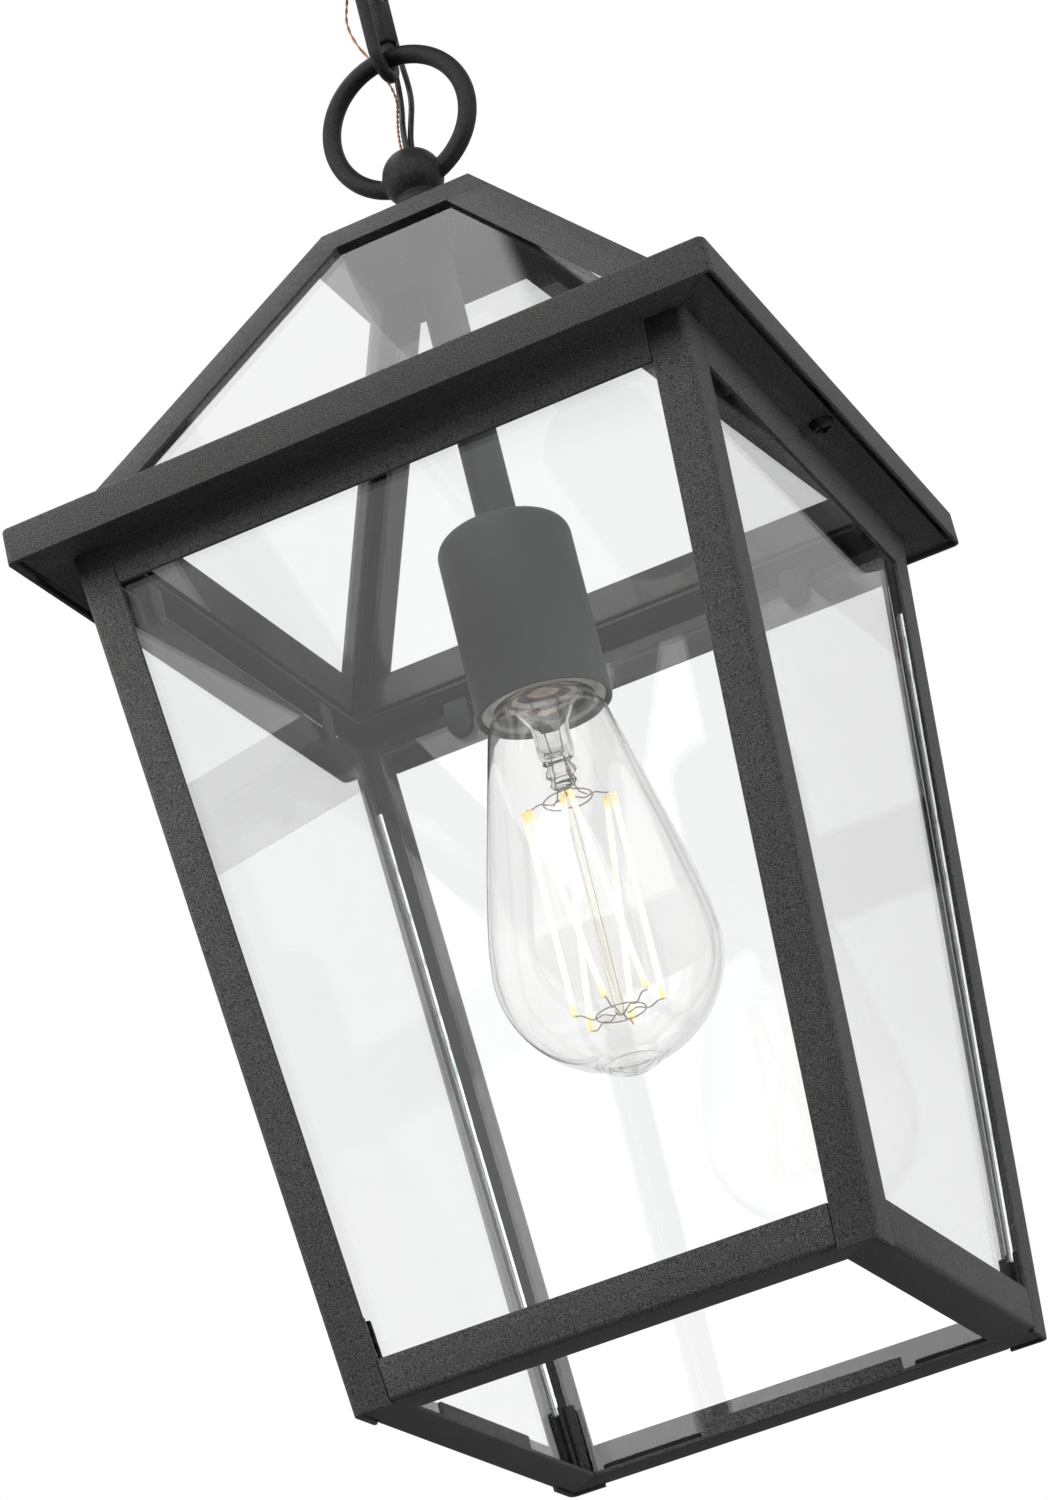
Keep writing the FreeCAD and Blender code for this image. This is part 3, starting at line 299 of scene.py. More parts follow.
def painted_glow_pane_edge():
    """The ground end of a pane, white with a little green and chipped, with painted glints and a
    painted glow.
    """
    material, tree = new_material("pane_edge_ground_and_painted_glow")
    place = object_place(tree)
    height = add(tree, "ShaderNodeSeparateXYZ", n0=place).outputs["Z"]
    foot, head = (c.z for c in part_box("pane_left"))
    bare = maths(tree, "MULTIPLY", maths(tree, "GREATER_THAN", height, foot + PAD_GRIP),
                 maths(tree, "LESS_THAN", height, head - SEALANT_GRIP))
    drawn = add(tree, "ShaderNodeMapping", Vector=place, Scale=(1.0, 1.0, 0.3))
    # Streaked white and dark green: ground glass, with painted glints in the white streaks.
    ground = ramp(tree, noise(tree, 420.0, 2.0, drawn), (0.3, (0.2, 0.32, 0.29)),
                  (0.38, (0.86, 0.93, 0.91)), (0.55, (0.96, 0.98, 0.97)))
    edge_colour_and_painted_glow = add(tree, "ShaderNodeMix", _data_type="RGBA", n0=bare, n6=(0.006, 0.006, 0.006, 1),
                n7=ground).outputs[2]
    # Painted glow: emission in the edge colour, where the pads and the sealant leave the ends
    # bare.
    return surfaced(material, Base_Color=edge_colour_and_painted_glow, Emission_Color=edge_colour_and_painted_glow,
                    Emission_Strength=PAINTED_EDGE_GLOW, Roughness=0.6)


PANE_EDGE_WITH_PAINTED_GLOW = painted_glow_pane_edge()

# %% [markdown]
# ## Small finishes
# The other finishes are plain ones: zinc-plated steel, brass, copper, glazed porcelain, rubber
# and wire insulation. Each has a little variation in colour and gloss, because even a new part
# isn't the same all over.

# %% Small finishes
def varied(name, dark, light, rough, metal=0.0, scale=300.0, bump=0.05, coat=0.0, shine=0.5):
    """A finish that drifts between two colours and two roughnesses."""
    material, tree = new_material(name)
    drift = noise(tree, scale, 3.0)
    relief = add(tree, "ShaderNodeBump", Strength=bump, Distance=BUMP, Height=drift)
    return surfaced(material, Base_Color=ramp(tree, drift, (0.3, dark), (0.7, light)),
                    Roughness=mapped(tree, drift, 0.3, 0.7, *rough), Normal=relief,
                    Metallic=metal, Coat_Weight=coat, Specular_IOR_Level=shine)


ZINC = varied("zinc_plate", (0.5, 0.5, 0.49), (0.66, 0.66, 0.64), (0.25, 0.42), metal=1.0)
BRASS = varied("socket_brass", (0.62, 0.44, 0.2), (0.8, 0.62, 0.33), (0.22, 0.4), metal=1.0)
CAP_METAL = varied("cap_metal", (0.74, 0.5, 0.42), (0.93, 0.74, 0.66), (0.18, 0.34), metal=1.0)
COPPER = varied("bare_copper", (0.62, 0.28, 0.16), (0.85, 0.5, 0.34), (0.28, 0.45), metal=1.0)
PORCELAIN = varied("glazed_porcelain", (0.66, 0.62, 0.53), (0.78, 0.75, 0.67), (0.14, 0.24),
                   scale=120.0, coat=0.4)
RUBBER = varied("black_rubber", (0.003, 0.003, 0.003), (0.008, 0.008, 0.008), (0.16, 0.28),
                bump=0.1, shine=0.22)
# Real sealant on the glass, and also the roof panes' black rims, which are painted shade along the
# hips.
SEALANT_AND_PAINTED_SHADE = varied("dark_sealant_and_painted_shade", (0.004, 0.004, 0.004), (0.012, 0.011, 0.01), (0.3, 0.6),
                 scale=700.0, bump=0.6, shine=0.15)
INSULATION = varied("lead_insulation", (0.012, 0.012, 0.012), (0.03, 0.03, 0.03), (0.3, 0.45))
BLACK_GLASS = varied("black_glass", (0.012, 0.012, 0.014), (0.03, 0.03, 0.034), (0.08, 0.16))
SUPPORT_WIRE = varied("support_wire", (0.36, 0.3, 0.24), (0.62, 0.55, 0.46), (0.25, 0.4),
                      metal=1.0, scale=900.0)


def filament_lit():
    """A lit filament: white, with yellow where the phosphor ends at each tip."""
    material, tree = new_material("lit_filament")
    low, high = (c.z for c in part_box("lamp_filaments"))
    height = add(tree, "ShaderNodeSeparateXYZ", n0=object_place(tree)).outputs["Z"]
    tip, yellow, white = (0.72, 0.56, 0.2), (0.85, 0.7, 0.33), (1.0, 0.96, 0.84)
    colour = ramp(tree, mapped(tree, height, low, high), (0.0, tip), (0.05, yellow),
                  (0.09, white), (0.93, white), (0.965, yellow), (1.0, tip))
    return surfaced(material, Base_Color=(0.6, 0.5, 0.25, 1), Emission_Color=colour,
                    Emission_Strength=1.0, Roughness=0.6)


FILAMENT = filament_lit()

# %% [markdown]
# ## Helpers for shapes
# Bent sheet never has a knife edge. A copy of each plain solid is merged into clean faces and
# gets its edges broken by a bevel of a few tenths of a millimetre, which is what catches the
# light along a real post. The copy then stands for the solid that it was made from.

# %% Shape helpers
MERGE, AXIS = 2e-6, 1e-7
FLAT, SHARP = math.radians(0.6), math.radians(35)


def link(name, mesh, *materials):
    """A new piece with a mesh and its materials."""
    for material in materials:
        mesh.materials.append(material)
    made = bpy.data.objects.new(name, mesh)
    scene.collection.objects.link(made)
    return made


def modify(made, kind, **settings):
    """Adds a modifier with its settings."""
    modifier = made.modifiers.new(kind.lower(), kind)
    for key, value in settings.items():
        setattr(modifier, key, value)
    return modifier


def settle(made):
    """Applies the modifiers of a piece, and gives it a plain mesh."""
    graph = bpy.context.evaluated_depsgraph_get()
    mesh = bpy.data.meshes.new_from_object(made.evaluated_get(graph))
    made.modifiers.clear()
    made.data = mesh
    return made


def smooth(made, degrees=32):
    """Shades a piece smooth, apart from edges sharper than an angle."""
    made.data.polygons.foreach_set("use_smooth", [True] * len(made.data.polygons))
    made.data.set_sharp_from_angle(angle=math.radians(degrees))
    return made


def repaint(made, *materials):
    """Gives a piece these materials and no others."""
    made.data.materials.clear()
    for material in materials:
        made.data.materials.append(material)
    return made


def mesh_of(work, name):
    """A mesh from a bmesh, which is freed."""
    mesh = bpy.data.meshes.new(name)
    work.to_mesh(mesh)
    work.free()
    return mesh


def clean_copy(node, name, keep=None):
    """A copy of a solid's mesh with its triangles merged into flat faces.

    keep tells the points to keep, where a node has more solids than are wanted.
    """
    work = bmesh.new()
    work.from_mesh(nodes[node].data)
    bmesh.ops.remove_doubles(work, verts=work.verts, dist=MERGE)
    if keep:
        bmesh.ops.delete(work, geom=[v for v in work.verts if not keep(v.co)], context="VERTS")
    bmesh.ops.dissolve_limit(work, angle_limit=FLAT, verts=work.verts, edges=work.edges)
    return mesh_of(work, name)


def break_edges(made, width, steps=2):
    """Bevels a piece's sharp edges by a width in millimetres."""
    modify(made, "BEVEL", width=width * MM, segments=steps, limit_method="ANGLE",
           angle_limit=SHARP)
    return settle(made)


def seat(made, body, node):
    """Rides on a body, in place of the solid that it stands for."""
    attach(made, body)
    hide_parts(node)
    print(f"{made.name}: {len(made.data.polygons)} faces, on {body}")
    return made


def dressed(node, material, bevel=0.25, steps=2, body="lantern"):
    """A solid's copy with its edges broken, in a finish, in place of the solid."""
    made = link(f"{node}_dressed", clean_copy(node, f"{node}_dressed"), material)
    return seat(smooth(break_edges(made, bevel, steps)), body, node)


def arc(centre, radius, start, end, steps=10):
    """Points of an arc in a turned profile, between two angles in degrees."""
    return [(centre[0] + radius * math.cos(math.radians(a)),
             centre[1] + radius * math.sin(math.radians(a)))
            for a in np.linspace(start, end, steps + 1)]


def circle(count):
    """Angles at even steps round a circle."""
    return [2 * math.pi * i / count for i in range(count)]


def join_rows(work, rows, closed=True):
    """Joins rows of points by faces. A row of one point is the middle of a cap."""
    around = max(map(len, rows))
    for low, high in zip(rows, rows[1:] + rows[:1] if closed else rows[1:]):
        for i in range(around):
            j = (i + 1) % around
            corners = list(dict.fromkeys((low[i % len(low)], low[j % len(low)],
                                          high[j % len(high)], high[i % len(high)])))
            if len(corners) > 2:
                work.faces.new(corners)


def outward(work):
    """Turns a bmesh's faces outward."""
    bmesh.ops.recalc_face_normals(work, faces=work.faces)
    return work


def turned_mesh(name, profile, around=96):
    """A turned mesh from a closed profile of (radius, height) points, in millimetres."""
    work = bmesh.new()
    rings = []
    for r, z in profile:
        r, z = r * MM, z * MM
        rings.append([work.verts.new((r * math.cos(a), r * math.sin(a), z))
                      for a in circle(around)] if r > AXIS else [work.verts.new((0, 0, z))])
    join_rows(work, rings)
    return mesh_of(outward(work), name)


def turned(name, profile, material, body, node, around=96, degrees=32):
    """A turned piece in a finish, in place of a solid."""
    made = link(name, turned_mesh(name, profile, around), material)
    return seat(smooth(made, degrees), body, node)


def top_of(node):
    """The height of a solid's top, in millimetres."""
    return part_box(node)[1].z / MM


def foot_of(node):
    """The height of a solid's foot, in millimetres."""
    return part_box(node)[0].z / MM


# %% [markdown]
# ## The coated sheet metal
# Posts, rails, hips, sills, cap and eave are bent or cut from sheet a little over a millimetre
# thick. Their solids have the right shapes, so the same dressing suits them all.

# %% Sheet metal
SHEET_NODES = [n for n in nodes if n.startswith(("post_", "foot_rail_", "top_rail_", "hip_"))]
for node in SHEET_NODES + ["roof_sills", "roof_cap", "eave"]:
    dressed(node, COAT)

# %% [markdown]
# ## The panes
# A pane follows a rule: a slab that narrows towards its foot or its head and leans as the metal
# in front of it does. Geometry Nodes make all eight from one tree, with the slab's two ends as
# named inputs. The bevel that follows is the small arris along a pane's edge. The side panes
# show ground ends with a painted glow at the rear corners, and the roof's panes have black rims
# in the sealant's finish, which paint the shade line along the inner edges of the hips.

# %% Pane tree
def close_tree(tree, shape, finish, result):
    """Ends a tree: its copies are made real and get their finish."""
    real = add(tree, "GeometryNodeRealizeInstances", Geometry=shape)
    painted = add(tree, "GeometryNodeSetMaterial", Geometry=real, Material=finish)
    tree.links.new(painted.outputs[0], result[0])
    print("tree:", tree.name)
    return tree


def pane_tree():
    """A slab between two ends of their own width and distance from the lantern's axis."""
    tree, given, result = new_group(
        "tapered_pane", "GeometryNodeTree",
        [("Half Width Low", FLOAT, 0.06), ("Half Width High", FLOAT, 0.08),
         ("Face Low", FLOAT, 0.07), ("Face High", FLOAT, 0.09), ("Foot", FLOAT, 0.0),
         ("Head", FLOAT, 0.1), ("Thickness", FLOAT, 0.003), ("Turn", FLOAT, 0.0),
         ("Faces", MATERIAL, None)],
        [("Geometry", SHAPE)])
    cube = add(tree, "GeometryNodeMeshCube", Size=(2.0, 1.0, 1.0))
    at = add(tree, "ShaderNodeSeparateXYZ", n0=add(tree, "GeometryNodeInputPosition"))
    share = maths(tree, "ADD", at.outputs["Z"], 0.5)

    def blend(low, high):
        return mapped(tree, share, 0.0, 1.0, given[low], given[high])

    x = maths(tree, "MULTIPLY", at.outputs["X"], blend("Half Width Low", "Half Width High"))
    face = maths(tree, "MULTIPLY", blend("Face Low", "Face High"), -1.0)
    y = maths(tree, "MULTIPLY_ADD", maths(tree, "ADD", at.outputs["Y"], 0.5),
              given["Thickness"], face)
    moved = add(tree, "ShaderNodeCombineXYZ", X=x, Y=y, Z=blend("Foot", "Head"))
    shaped = add(tree, "GeometryNodeSetPosition", Geometry=cube.outputs["Mesh"], Position=moved)
    spin = add(tree, "ShaderNodeCombineXYZ", Z=given["Turn"])
    slab = add(tree, "GeometryNodeTransform", Geometry=shaped, Rotation=spin)
    return close_tree(tree, slab, given["Faces"], result)


def grown(name, tree, values, material, mesh=None):
    """The plain mesh that a Geometry Nodes tree gives for inputs named by their titles."""
    made = link(name, mesh or bpy.data.meshes.new(name), material)
    modifier = modify(made, "NODES", node_group=tree)
    for item in tree.interface.items_tree:
        if item.item_type == "SOCKET" and item.in_out == "INPUT" and item.name in values:
            modifier[item.identifier] = values[item.name]
    return settle(made)


PANE_TREE = pane_tree()
TURNS = {"front": 0.0, "right": math.pi / 2, "rear": math.pi, "left": 1.5 * math.pi}


def pane_sizes(node, side):
    """A pane's two half widths, two face distances, foot and head, read from its solid."""
    back = Matrix.Rotation(-TURNS[side], 3, "Z")
    points = [back @ v.co for v in nodes[node].data.vertices]
    foot, head = (f(p.z for p in points) for f in (min, max))
    low = [p for p in points if p.z < foot + MM]
    high = [p for p in points if p.z > head - MM]
    sizes = {"Foot": foot, "Head": head, "Turn": TURNS[side]}
    for title, ring in (("Low", low), ("High", high)):
        sizes[f"Half Width {title}"] = max(p.x for p in ring)
        sizes[f"Face {title}"] = max(-p.y for p in ring)
    sizes["Thickness"] = max(p.y for p in low) - min(p.y for p in low)
    return sizes


ARRIS = 0.15 * MM


def pane(node, side, face, rim, ends_only=False):
    """A pane with its rim's material, or with that material on its two upright ends alone."""
    made = repaint(grown(f"{node}_glass", PANE_TREE, {**pane_sizes(node, side), "Faces": face},
                         face), face, rim)
    widest = max(p.area for p in made.data.polygons)
    for polygon in made.data.polygons:
        polygon.material_index = int(polygon.area < widest / 3)
    modify(made, "BEVEL", width=ARRIS, segments=1, material=1)
    settle(made)
    if ends_only:
        for polygon in made.data.polygons:
            if abs(polygon.normal.z) > 0.5:
                polygon.material_index = 0
    return seat(made, "lantern", node)


for side in TURNS:
    pane(f"pane_{side}", side, PANE, PANE_EDGE_WITH_PAINTED_GLOW if side in ("left", "right") else PANE,
         ends_only=True)
    # The roof panes' black rims paint the shade line along the inner edges of the hips.
    pane(f"roof_pane_{side}", side, PANE, SEALANT_AND_PAINTED_SHADE)

# %% [markdown]
# ## The cast ring
# Ring, ball and neck are one casting, so they flow into each other. The three shapes are put
# together and remeshed at a third of a millimetre, the wireway is cut, and then a little
# smoothing makes the small fillets that a mould leaves.

# %% Castings
def ring_mesh(radius, wire, centre):
    """A ring standing in the XZ plane."""
    work = bmesh.new()
    rows = []
    for a in circle(160):
        row = []
        for b in circle(40):
            r = radius + wire * math.cos(b)
            row.append(work.verts.new((r * math.cos(a), wire * math.sin(b),
                                       centre + r * math.sin(a))))
        rows.append(row)
    join_rows(work, rows)
    return outward(work)


def cast(name, ring, profile, bore, node, body, voxel=0.3):
    """A ring and a turned body in one, with a hole down its middle."""
    work = ring_mesh(*(v * MM for v in ring))
    work.from_mesh(turned_mesh("lump", profile))
    made = link(name, mesh_of(work, name), COAT_CAST)
    modify(made, "REMESH", mode="VOXEL", voxel_size=voxel * MM)
    settle(made)
    radius, low, high = bore
    hole = link("wireway", turned_mesh("wireway", [(0, low), (radius, low), (radius, high),
                                                    (0, high)], 64))
    modify(made, "BOOLEAN", operation="DIFFERENCE", solver="EXACT", object=hole)
    settle(made)
    bpy.data.objects.remove(hole)
    modify(made, "SMOOTH", factor=0.5, iterations=6)
    return seat(repaint(smooth(settle(made), 70), COAT_CAST), body, node)


WIREWAY_R = 3.25
RING_FOOT, RING_HEAD = foot_of("hanging_loop"), top_of("hanging_loop")
RING_R, RING_WIRE = 22.3, 2.85
RING_AT = RING_HEAD - RING_R - RING_WIRE
BALL_R = 9.3
BALL_AT = RING_AT - 20.1
neck = [(0, RING_FOOT), (9.6, RING_FOOT), (9.1, RING_FOOT + 1.4), (8.3, RING_FOOT + 4.4),
        (7.7, RING_FOOT + 8.4), (7.4, RING_FOOT + 12.2)]
ball = arc((0, BALL_AT), BALL_R, -50, 90, 24)
cast("hanging_ring", (RING_R, RING_WIRE, RING_AT), neck + ball,
     (WIREWAY_R, RING_FOOT + 6, BALL_AT + 20), "hanging_loop", "lantern")

LOOP_FOOT, LOOP_HEAD = foot_of("canopy_loop"), top_of("canopy_loop")
LOOP_R, LOOP_WIRE = 11.0, 2.5
LOOP_AT = LOOP_FOOT + LOOP_R + LOOP_WIRE
collar = [(10.0, LOOP_HEAD - 3.6), (10.0, LOOP_HEAD), (0, LOOP_HEAD)]
ball = arc((0, LOOP_AT + 12.6), 7.6, -90, 38, 20)
ball += [(7.2, LOOP_HEAD - 5.0), (8.6, LOOP_HEAD - 4.9)]
cast("ceiling_loop", (LOOP_R, LOOP_WIRE, LOOP_AT), ball + collar,
     (WIREWAY_R, LOOP_AT, LOOP_HEAD - 3), "canopy_loop", "ceiling_mount", voxel=0.35)

# %% [markdown]
# ## The quick link
# The link is a rod bent into a long loop, open in one leg, with a hexagon sleeve that screws
# across the opening. Its line is two straights and two half circles, swept with a round section.

# %% Quick link
WIRE = 2.0
BEND = 6.5
LOW, HIGH = foot_of("link_rod") + WIRE + BEND, top_of("link_rod") - WIRE - BEND
SLEEVE_LOW = foot_of("link_sleeve")


def directions(points):
    """At each point of a line, two directions across it that turn as little as they can."""
    side = None
    for i, point in enumerate(points):
        ahead = (points[min(i + 1, len(points) - 1)] - points[max(i - 1, 0)]).normalized()
        if side is None:
            side = ahead.orthogonal().normalized()
        side = (side - ahead * side.dot(ahead)).normalized()
        yield point, side, ahead.cross(side)


def tube_along(points, radius, across):
    """A closed round tube along points."""
    work = bmesh.new()
    rows = [[work.verts.new(point + side * (radius * math.cos(a)) + other * (radius * math.sin(a)))
             for a in circle(across)]
            for point, side, other in directions([Vector(p) for p in points])]
    join_rows(work, rows, closed=False)
    work.faces.new(rows[0][::-1])
    work.faces.new(rows[-1])
    return outward(work)


mouth_low, mouth_high = SLEEVE_LOW + 1.2, SLEEVE_LOW + 7.2
line = [(0, BEND, mouth_low), (0, BEND, (mouth_low + LOW) / 2), (0, BEND, LOW)]
line += [(0, y, z) for y, z in arc((0, LOW), BEND, 0, -180, 36)[1:]]
line += [(0, -BEND, LOW + (HIGH - LOW) * i / 6) for i in range(1, 7)]
line += [(0, y, z) for y, z in arc((0, HIGH), BEND, 180, 0, 36)[1:]]
line += [(0, BEND, (mouth_high + HIGH) / 2), (0, BEND, mouth_high)]
rod = tube_along([[c * MM for c in p] for p in line], WIRE * MM, 32)
rod = link("quick_link_rod", mesh_of(rod, "quick_link_rod"), COAT_CAST)
seat(smooth(rod, 50), "quick_link", "link_rod")
dressed("link_sleeve", COAT_CAST, bevel=0.3, steps=3, body="link_sleeve")

# %% [markdown]
# ## Repeats from Geometry Nodes: screws and glass tongues
# The two soffit screws are the same piece, and so are the eight tongues. One tree places any
# small piece round a square, on two sides or four, with the spread of a pair as a named input.
# The pieces themselves are copies of the first solid of each kind, dressed, so that the tree has
# something with broken edges to repeat.

# %% Round-the-square tree
def square_tree():
    """A piece, or a pair of it along X, on each side of a square round the axis."""
    tree, given, result = new_group(
        "round_the_square", "GeometryNodeTree",
        [("Piece", "NodeSocketObject", None), ("Spread", FLOAT, 0.0), ("Pair", WHOLE, 1),
         ("Sides", WHOLE, 4), ("Finish", MATERIAL, None)],
        [("Geometry", SHAPE)])
    spread, sides = given["Spread"], given["Sides"]

    def along_x(share):
        return add(tree, "ShaderNodeCombineXYZ", X=maths(tree, "MULTIPLY", spread, share))

    piece = add(tree, "GeometryNodeObjectInfo", Object=given["Piece"])
    row = add(tree, "GeometryNodeMeshLine", Count=given["Pair"],
              Start_Location=along_x(-1.0), Offset=along_x(2.0))
    pair = add(tree, "GeometryNodeInstanceOnPoints", Points=row,
               Instance=piece.outputs["Geometry"])
    corners = add(tree, "GeometryNodeMeshLine", Count=sides, Offset=(0, 0, 0))
    angle = maths(tree, "MULTIPLY", add(tree, "GeometryNodeInputIndex"),
                  maths(tree, "DIVIDE", 2 * math.pi, sides))
    turn = add(tree, "ShaderNodeCombineXYZ", Z=angle)
    ringed = add(tree, "GeometryNodeInstanceOnPoints", Points=corners,
                 Instance=pair, Rotation=turn)
    return close_tree(tree, ringed, given["Finish"], result)


SQUARE_TREE = square_tree()


def repeated(node, keep, spread, pair, sides, material, bevel):
    """A node's small pieces, as copies of the one that keep picks."""
    seed = break_edges(link("seed", clean_copy(node, "seed", keep)), bevel)
    seed.data.transform(Matrix.Translation((spread * MM, 0, 0)))
    made = grown(f"{node}_dressed", SQUARE_TREE,
                 {"Piece": seed, "Spread": spread * MM, "Pair": pair, "Sides": sides,
                  "Finish": material}, material)
    bpy.data.objects.remove(seed)
    return seat(smooth(made), "lantern", node)


TONGUE_AT = 55.0
repeated("soffit_screws", lambda p: p.x > 0, 0.0, 1, 2, COAT_CAST, 0.18)
repeated("glass_tongues", lambda p: p.y < -80 * MM and -70 * MM < p.x < -40 * MM, TONGUE_AT, 2, 4,
         COAT_FINE, 0.2)
dressed("eave_spacers", COAT_CAST, bevel=0.15)

# %% [markdown]
# ## Stem, socket and cup
# The stem is plain coated tube. The cup is drawn from thin sheet with a soft shoulder. Inside it
# sit the glazed porcelain and the brass screw shell.

# %% Stem and socket
CUP_RIM, CUP_TOP = foot_of("socket_cup"), top_of("socket_cup")
CUP_R, CUP_WALL, CUP_TURN = 19.5, 1.0, 5.0
STEM_R, STEM_WALL = 6.0, 0.9
STEM_TOP = top_of("stem_tube")
THREAD_HOLE = 4.95
turned("stem_tube_coated", [(STEM_R, CUP_TOP), (STEM_R, STEM_TOP), (STEM_R - STEM_WALL, STEM_TOP),
                            (STEM_R - STEM_WALL, CUP_TOP)], COAT_FINE, "lantern", "stem_tube")
turn_at = (CUP_R - CUP_TURN, CUP_TOP - CUP_TURN)
outer = [(THREAD_HOLE, CUP_TOP)] + arc(turn_at, CUP_TURN, 90, 0, 12)
rim = arc((CUP_R - CUP_WALL / 2, CUP_RIM + 0.5), 0.5, 0, -180, 6)
inner = arc(turn_at, CUP_TURN - CUP_WALL, 0, 90, 10) + [(THREAD_HOLE, CUP_TOP - CUP_WALL)]
turned("socket_cup_coated", outer + rim + inner, COAT_FINE, "lantern", "socket_cup", around=160)

PORCELAIN_LOW, PORCELAIN_TOP = foot_of("socket_porcelain"), top_of("socket_porcelain")
SHELL_LOW, SHELL_TOP = foot_of("socket_shell"), top_of("socket_shell")
porcelain = ([(14.5, SHELL_LOW)] + arc((15.1, PORCELAIN_LOW + 0.6), 0.6, 180, 270, 5)
             + arc((17.6, PORCELAIN_LOW + 0.6), 0.6, 270, 360, 5)
             + arc((17.2, PORCELAIN_TOP - 9.3), 1.0, 0, 90, 5)
             + [(8.5, PORCELAIN_TOP - 8.3), (8.5, PORCELAIN_TOP), (0, PORCELAIN_TOP),
                (0, SHELL_TOP + 1.5), (14.0, SHELL_TOP + 1.5), (14.0, SHELL_LOW)])
turned("socket_porcelain_glazed", porcelain, PORCELAIN, "lantern", "socket_porcelain")

# %% [markdown]
# ## Screw threads
# The lamp's cap and the socket's shell are rolled from thin brass with a round thread. A thread
# is a section whose radius depends on the angle and the height together, so a grid of points
# with that formula is the shortest way to make one.

# %% Threads
FADE = 2.0
ROWS_PER_TURN = 12


def threaded(name, node, radius, depth, pitch, wall, material, body="lantern", around=72):
    """A thin rolled shell whose radius waves by depth along a screw line."""
    low, high = foot_of(node), top_of(node)
    rows = max(8, int((high - low) / pitch * ROWS_PER_TURN))
    work = bmesh.new()
    skins = []
    for inset in (0.0, wall):
        skin = []
        for i in range(rows + 1):
            z = low + (high - low) * i / rows
            edge = min(1.0, (z - low) / FADE, (high - z) / FADE)
            ring = []
            for a in circle(around):
                wave = 0.5 - 0.5 * math.cos(2 * math.pi * z / pitch - a)
                r = radius - inset - depth * edge * wave
                ring.append(work.verts.new((r * MM * math.cos(a), r * MM * math.sin(a), z * MM)))
            skin.append(ring)
        skins.append(skin)
    join_rows(work, skins[0] + skins[1][::-1])
    made = link(name, mesh_of(outward(work), name), material)
    return seat(smooth(made, 60), body, node)


CAP_PITCH = 3.6
threaded("socket_shell_rolled", "socket_shell", 13.9, 0.0, CAP_PITCH, 0.45, BRASS)
threaded("lamp_cap_rolled", "lamp_cap", 13.1, 1.1, CAP_PITCH, 0.35, CAP_METAL, "lamp")
threaded("threaded_tube_cut", "threaded_tube", 4.9, 0.25, 1.0, 1.2, ZINC, around=32)
threaded("mount_nipple_cut", "mount_nipple", 4.9, 0.25, 1.0, 1.2, ZINC, "ceiling_mount", 32)
dressed("cup_locknut", ZINC, bevel=0.3)
dressed("nipple_locknut", ZINC, bevel=0.3, body="ceiling_mount")
dressed("socket_contact", BRASS, bevel=0.4)
dressed("lamp_cap_insulator", BLACK_GLASS, bevel=0.3, body="lamp")
dressed("lamp_cap_contact", ZINC, bevel=0.2, body="lamp")

# %% [markdown]
# ## The canopy
# The canopy is a spun dish. Its flat, its quarter-round shoulder and its straight side are one
# turned section with a rolled rim. The roof's front pane mirrors a pale ceiling with nothing in
# it, so the pieces up there are hidden from mirror rays alone.

# %% Canopy
CANOPY_LOW, CANOPY_TOP = foot_of("canopy"), top_of("canopy")
CANOPY_R, CANOPY_TURN, CANOPY_WALL = 63.5, 15.0, 1.2
turn_at, half = (CANOPY_R - CANOPY_TURN, CANOPY_LOW + CANOPY_TURN), CANOPY_WALL / 2
dish = ([(THREAD_HOLE, CANOPY_LOW)] + arc(turn_at, CANOPY_TURN, -90, 0, 20)
        + arc((CANOPY_R - half, CANOPY_TOP - half), half, 0, 180, 6)
        + arc(turn_at, CANOPY_TURN - CANOPY_WALL, 0, -90, 20)
        + [(THREAD_HOLE, CANOPY_LOW + CANOPY_WALL)])
turned("canopy_spun", dish, COAT, "ceiling_mount", "canopy", around=180)
dressed("crossbar", ZINC, bevel=0.25, body="ceiling_mount")
for name in ("canopy_spun", "crossbar_dressed", "mount_nipple_cut", "nipple_locknut_dressed"):
    bpy.data.objects[name].visible_glossy = False

# %% [markdown]
# ## The lamp
# The glass is blown into a mould: a neck, a long cone and a round end with the small tip where it
# was sealed. Inside stand a flared stem, a thin rod with two wire rings, and six straight
# filaments.

# %% Lamp glass
NECK = top_of("lamp_glass")
LAMP_FOOT = foot_of("lamp_glass")
LAMP_R = 32.0
WIDEST = NECK - 79.8
SHOULDER = [(13.2, NECK), (13.35, NECK - 1.6), (14.3, NECK - 3.2), (16.0, NECK - 5.1),
            (17.6, NECK - 8.6), (18.7, NECK - 13.0), (20.4, NECK - 20.0), (23.55, NECK - 34.0),
            (26.8, NECK - 48.1), (30.1, NECK - 64.4), (31.3, NECK - 71.5)]
PIP_R = 9.6
PIP = [(8.4, 0.92), (7.2, 1.32), (6.2, 2.0), (5.0, 2.75), (3.2, 3.35), (0.0, 3.6)]


def rounded_profile(points, steps=8):
    """A smooth line through a turned profile's points."""
    points = [Vector((*p, 0)) for p in points]
    padded = [points[0] * 2 - points[1], *points, points[-1] * 2 - points[-2]]
    line = []
    for a, b, c, d in zip(padded, padded[1:], padded[2:], padded[3:]):
        for i in range(steps):
            t = i / steps
            p = 0.5 * ((2 * b) + (c - a) * t + (2 * a - 5 * b + 4 * c - d) * t ** 2
                       + (3 * b - a - 3 * c + d) * t ** 3)
            line.append((p.x, p.y))
    return line + [(points[-1].x, points[-1].y)]


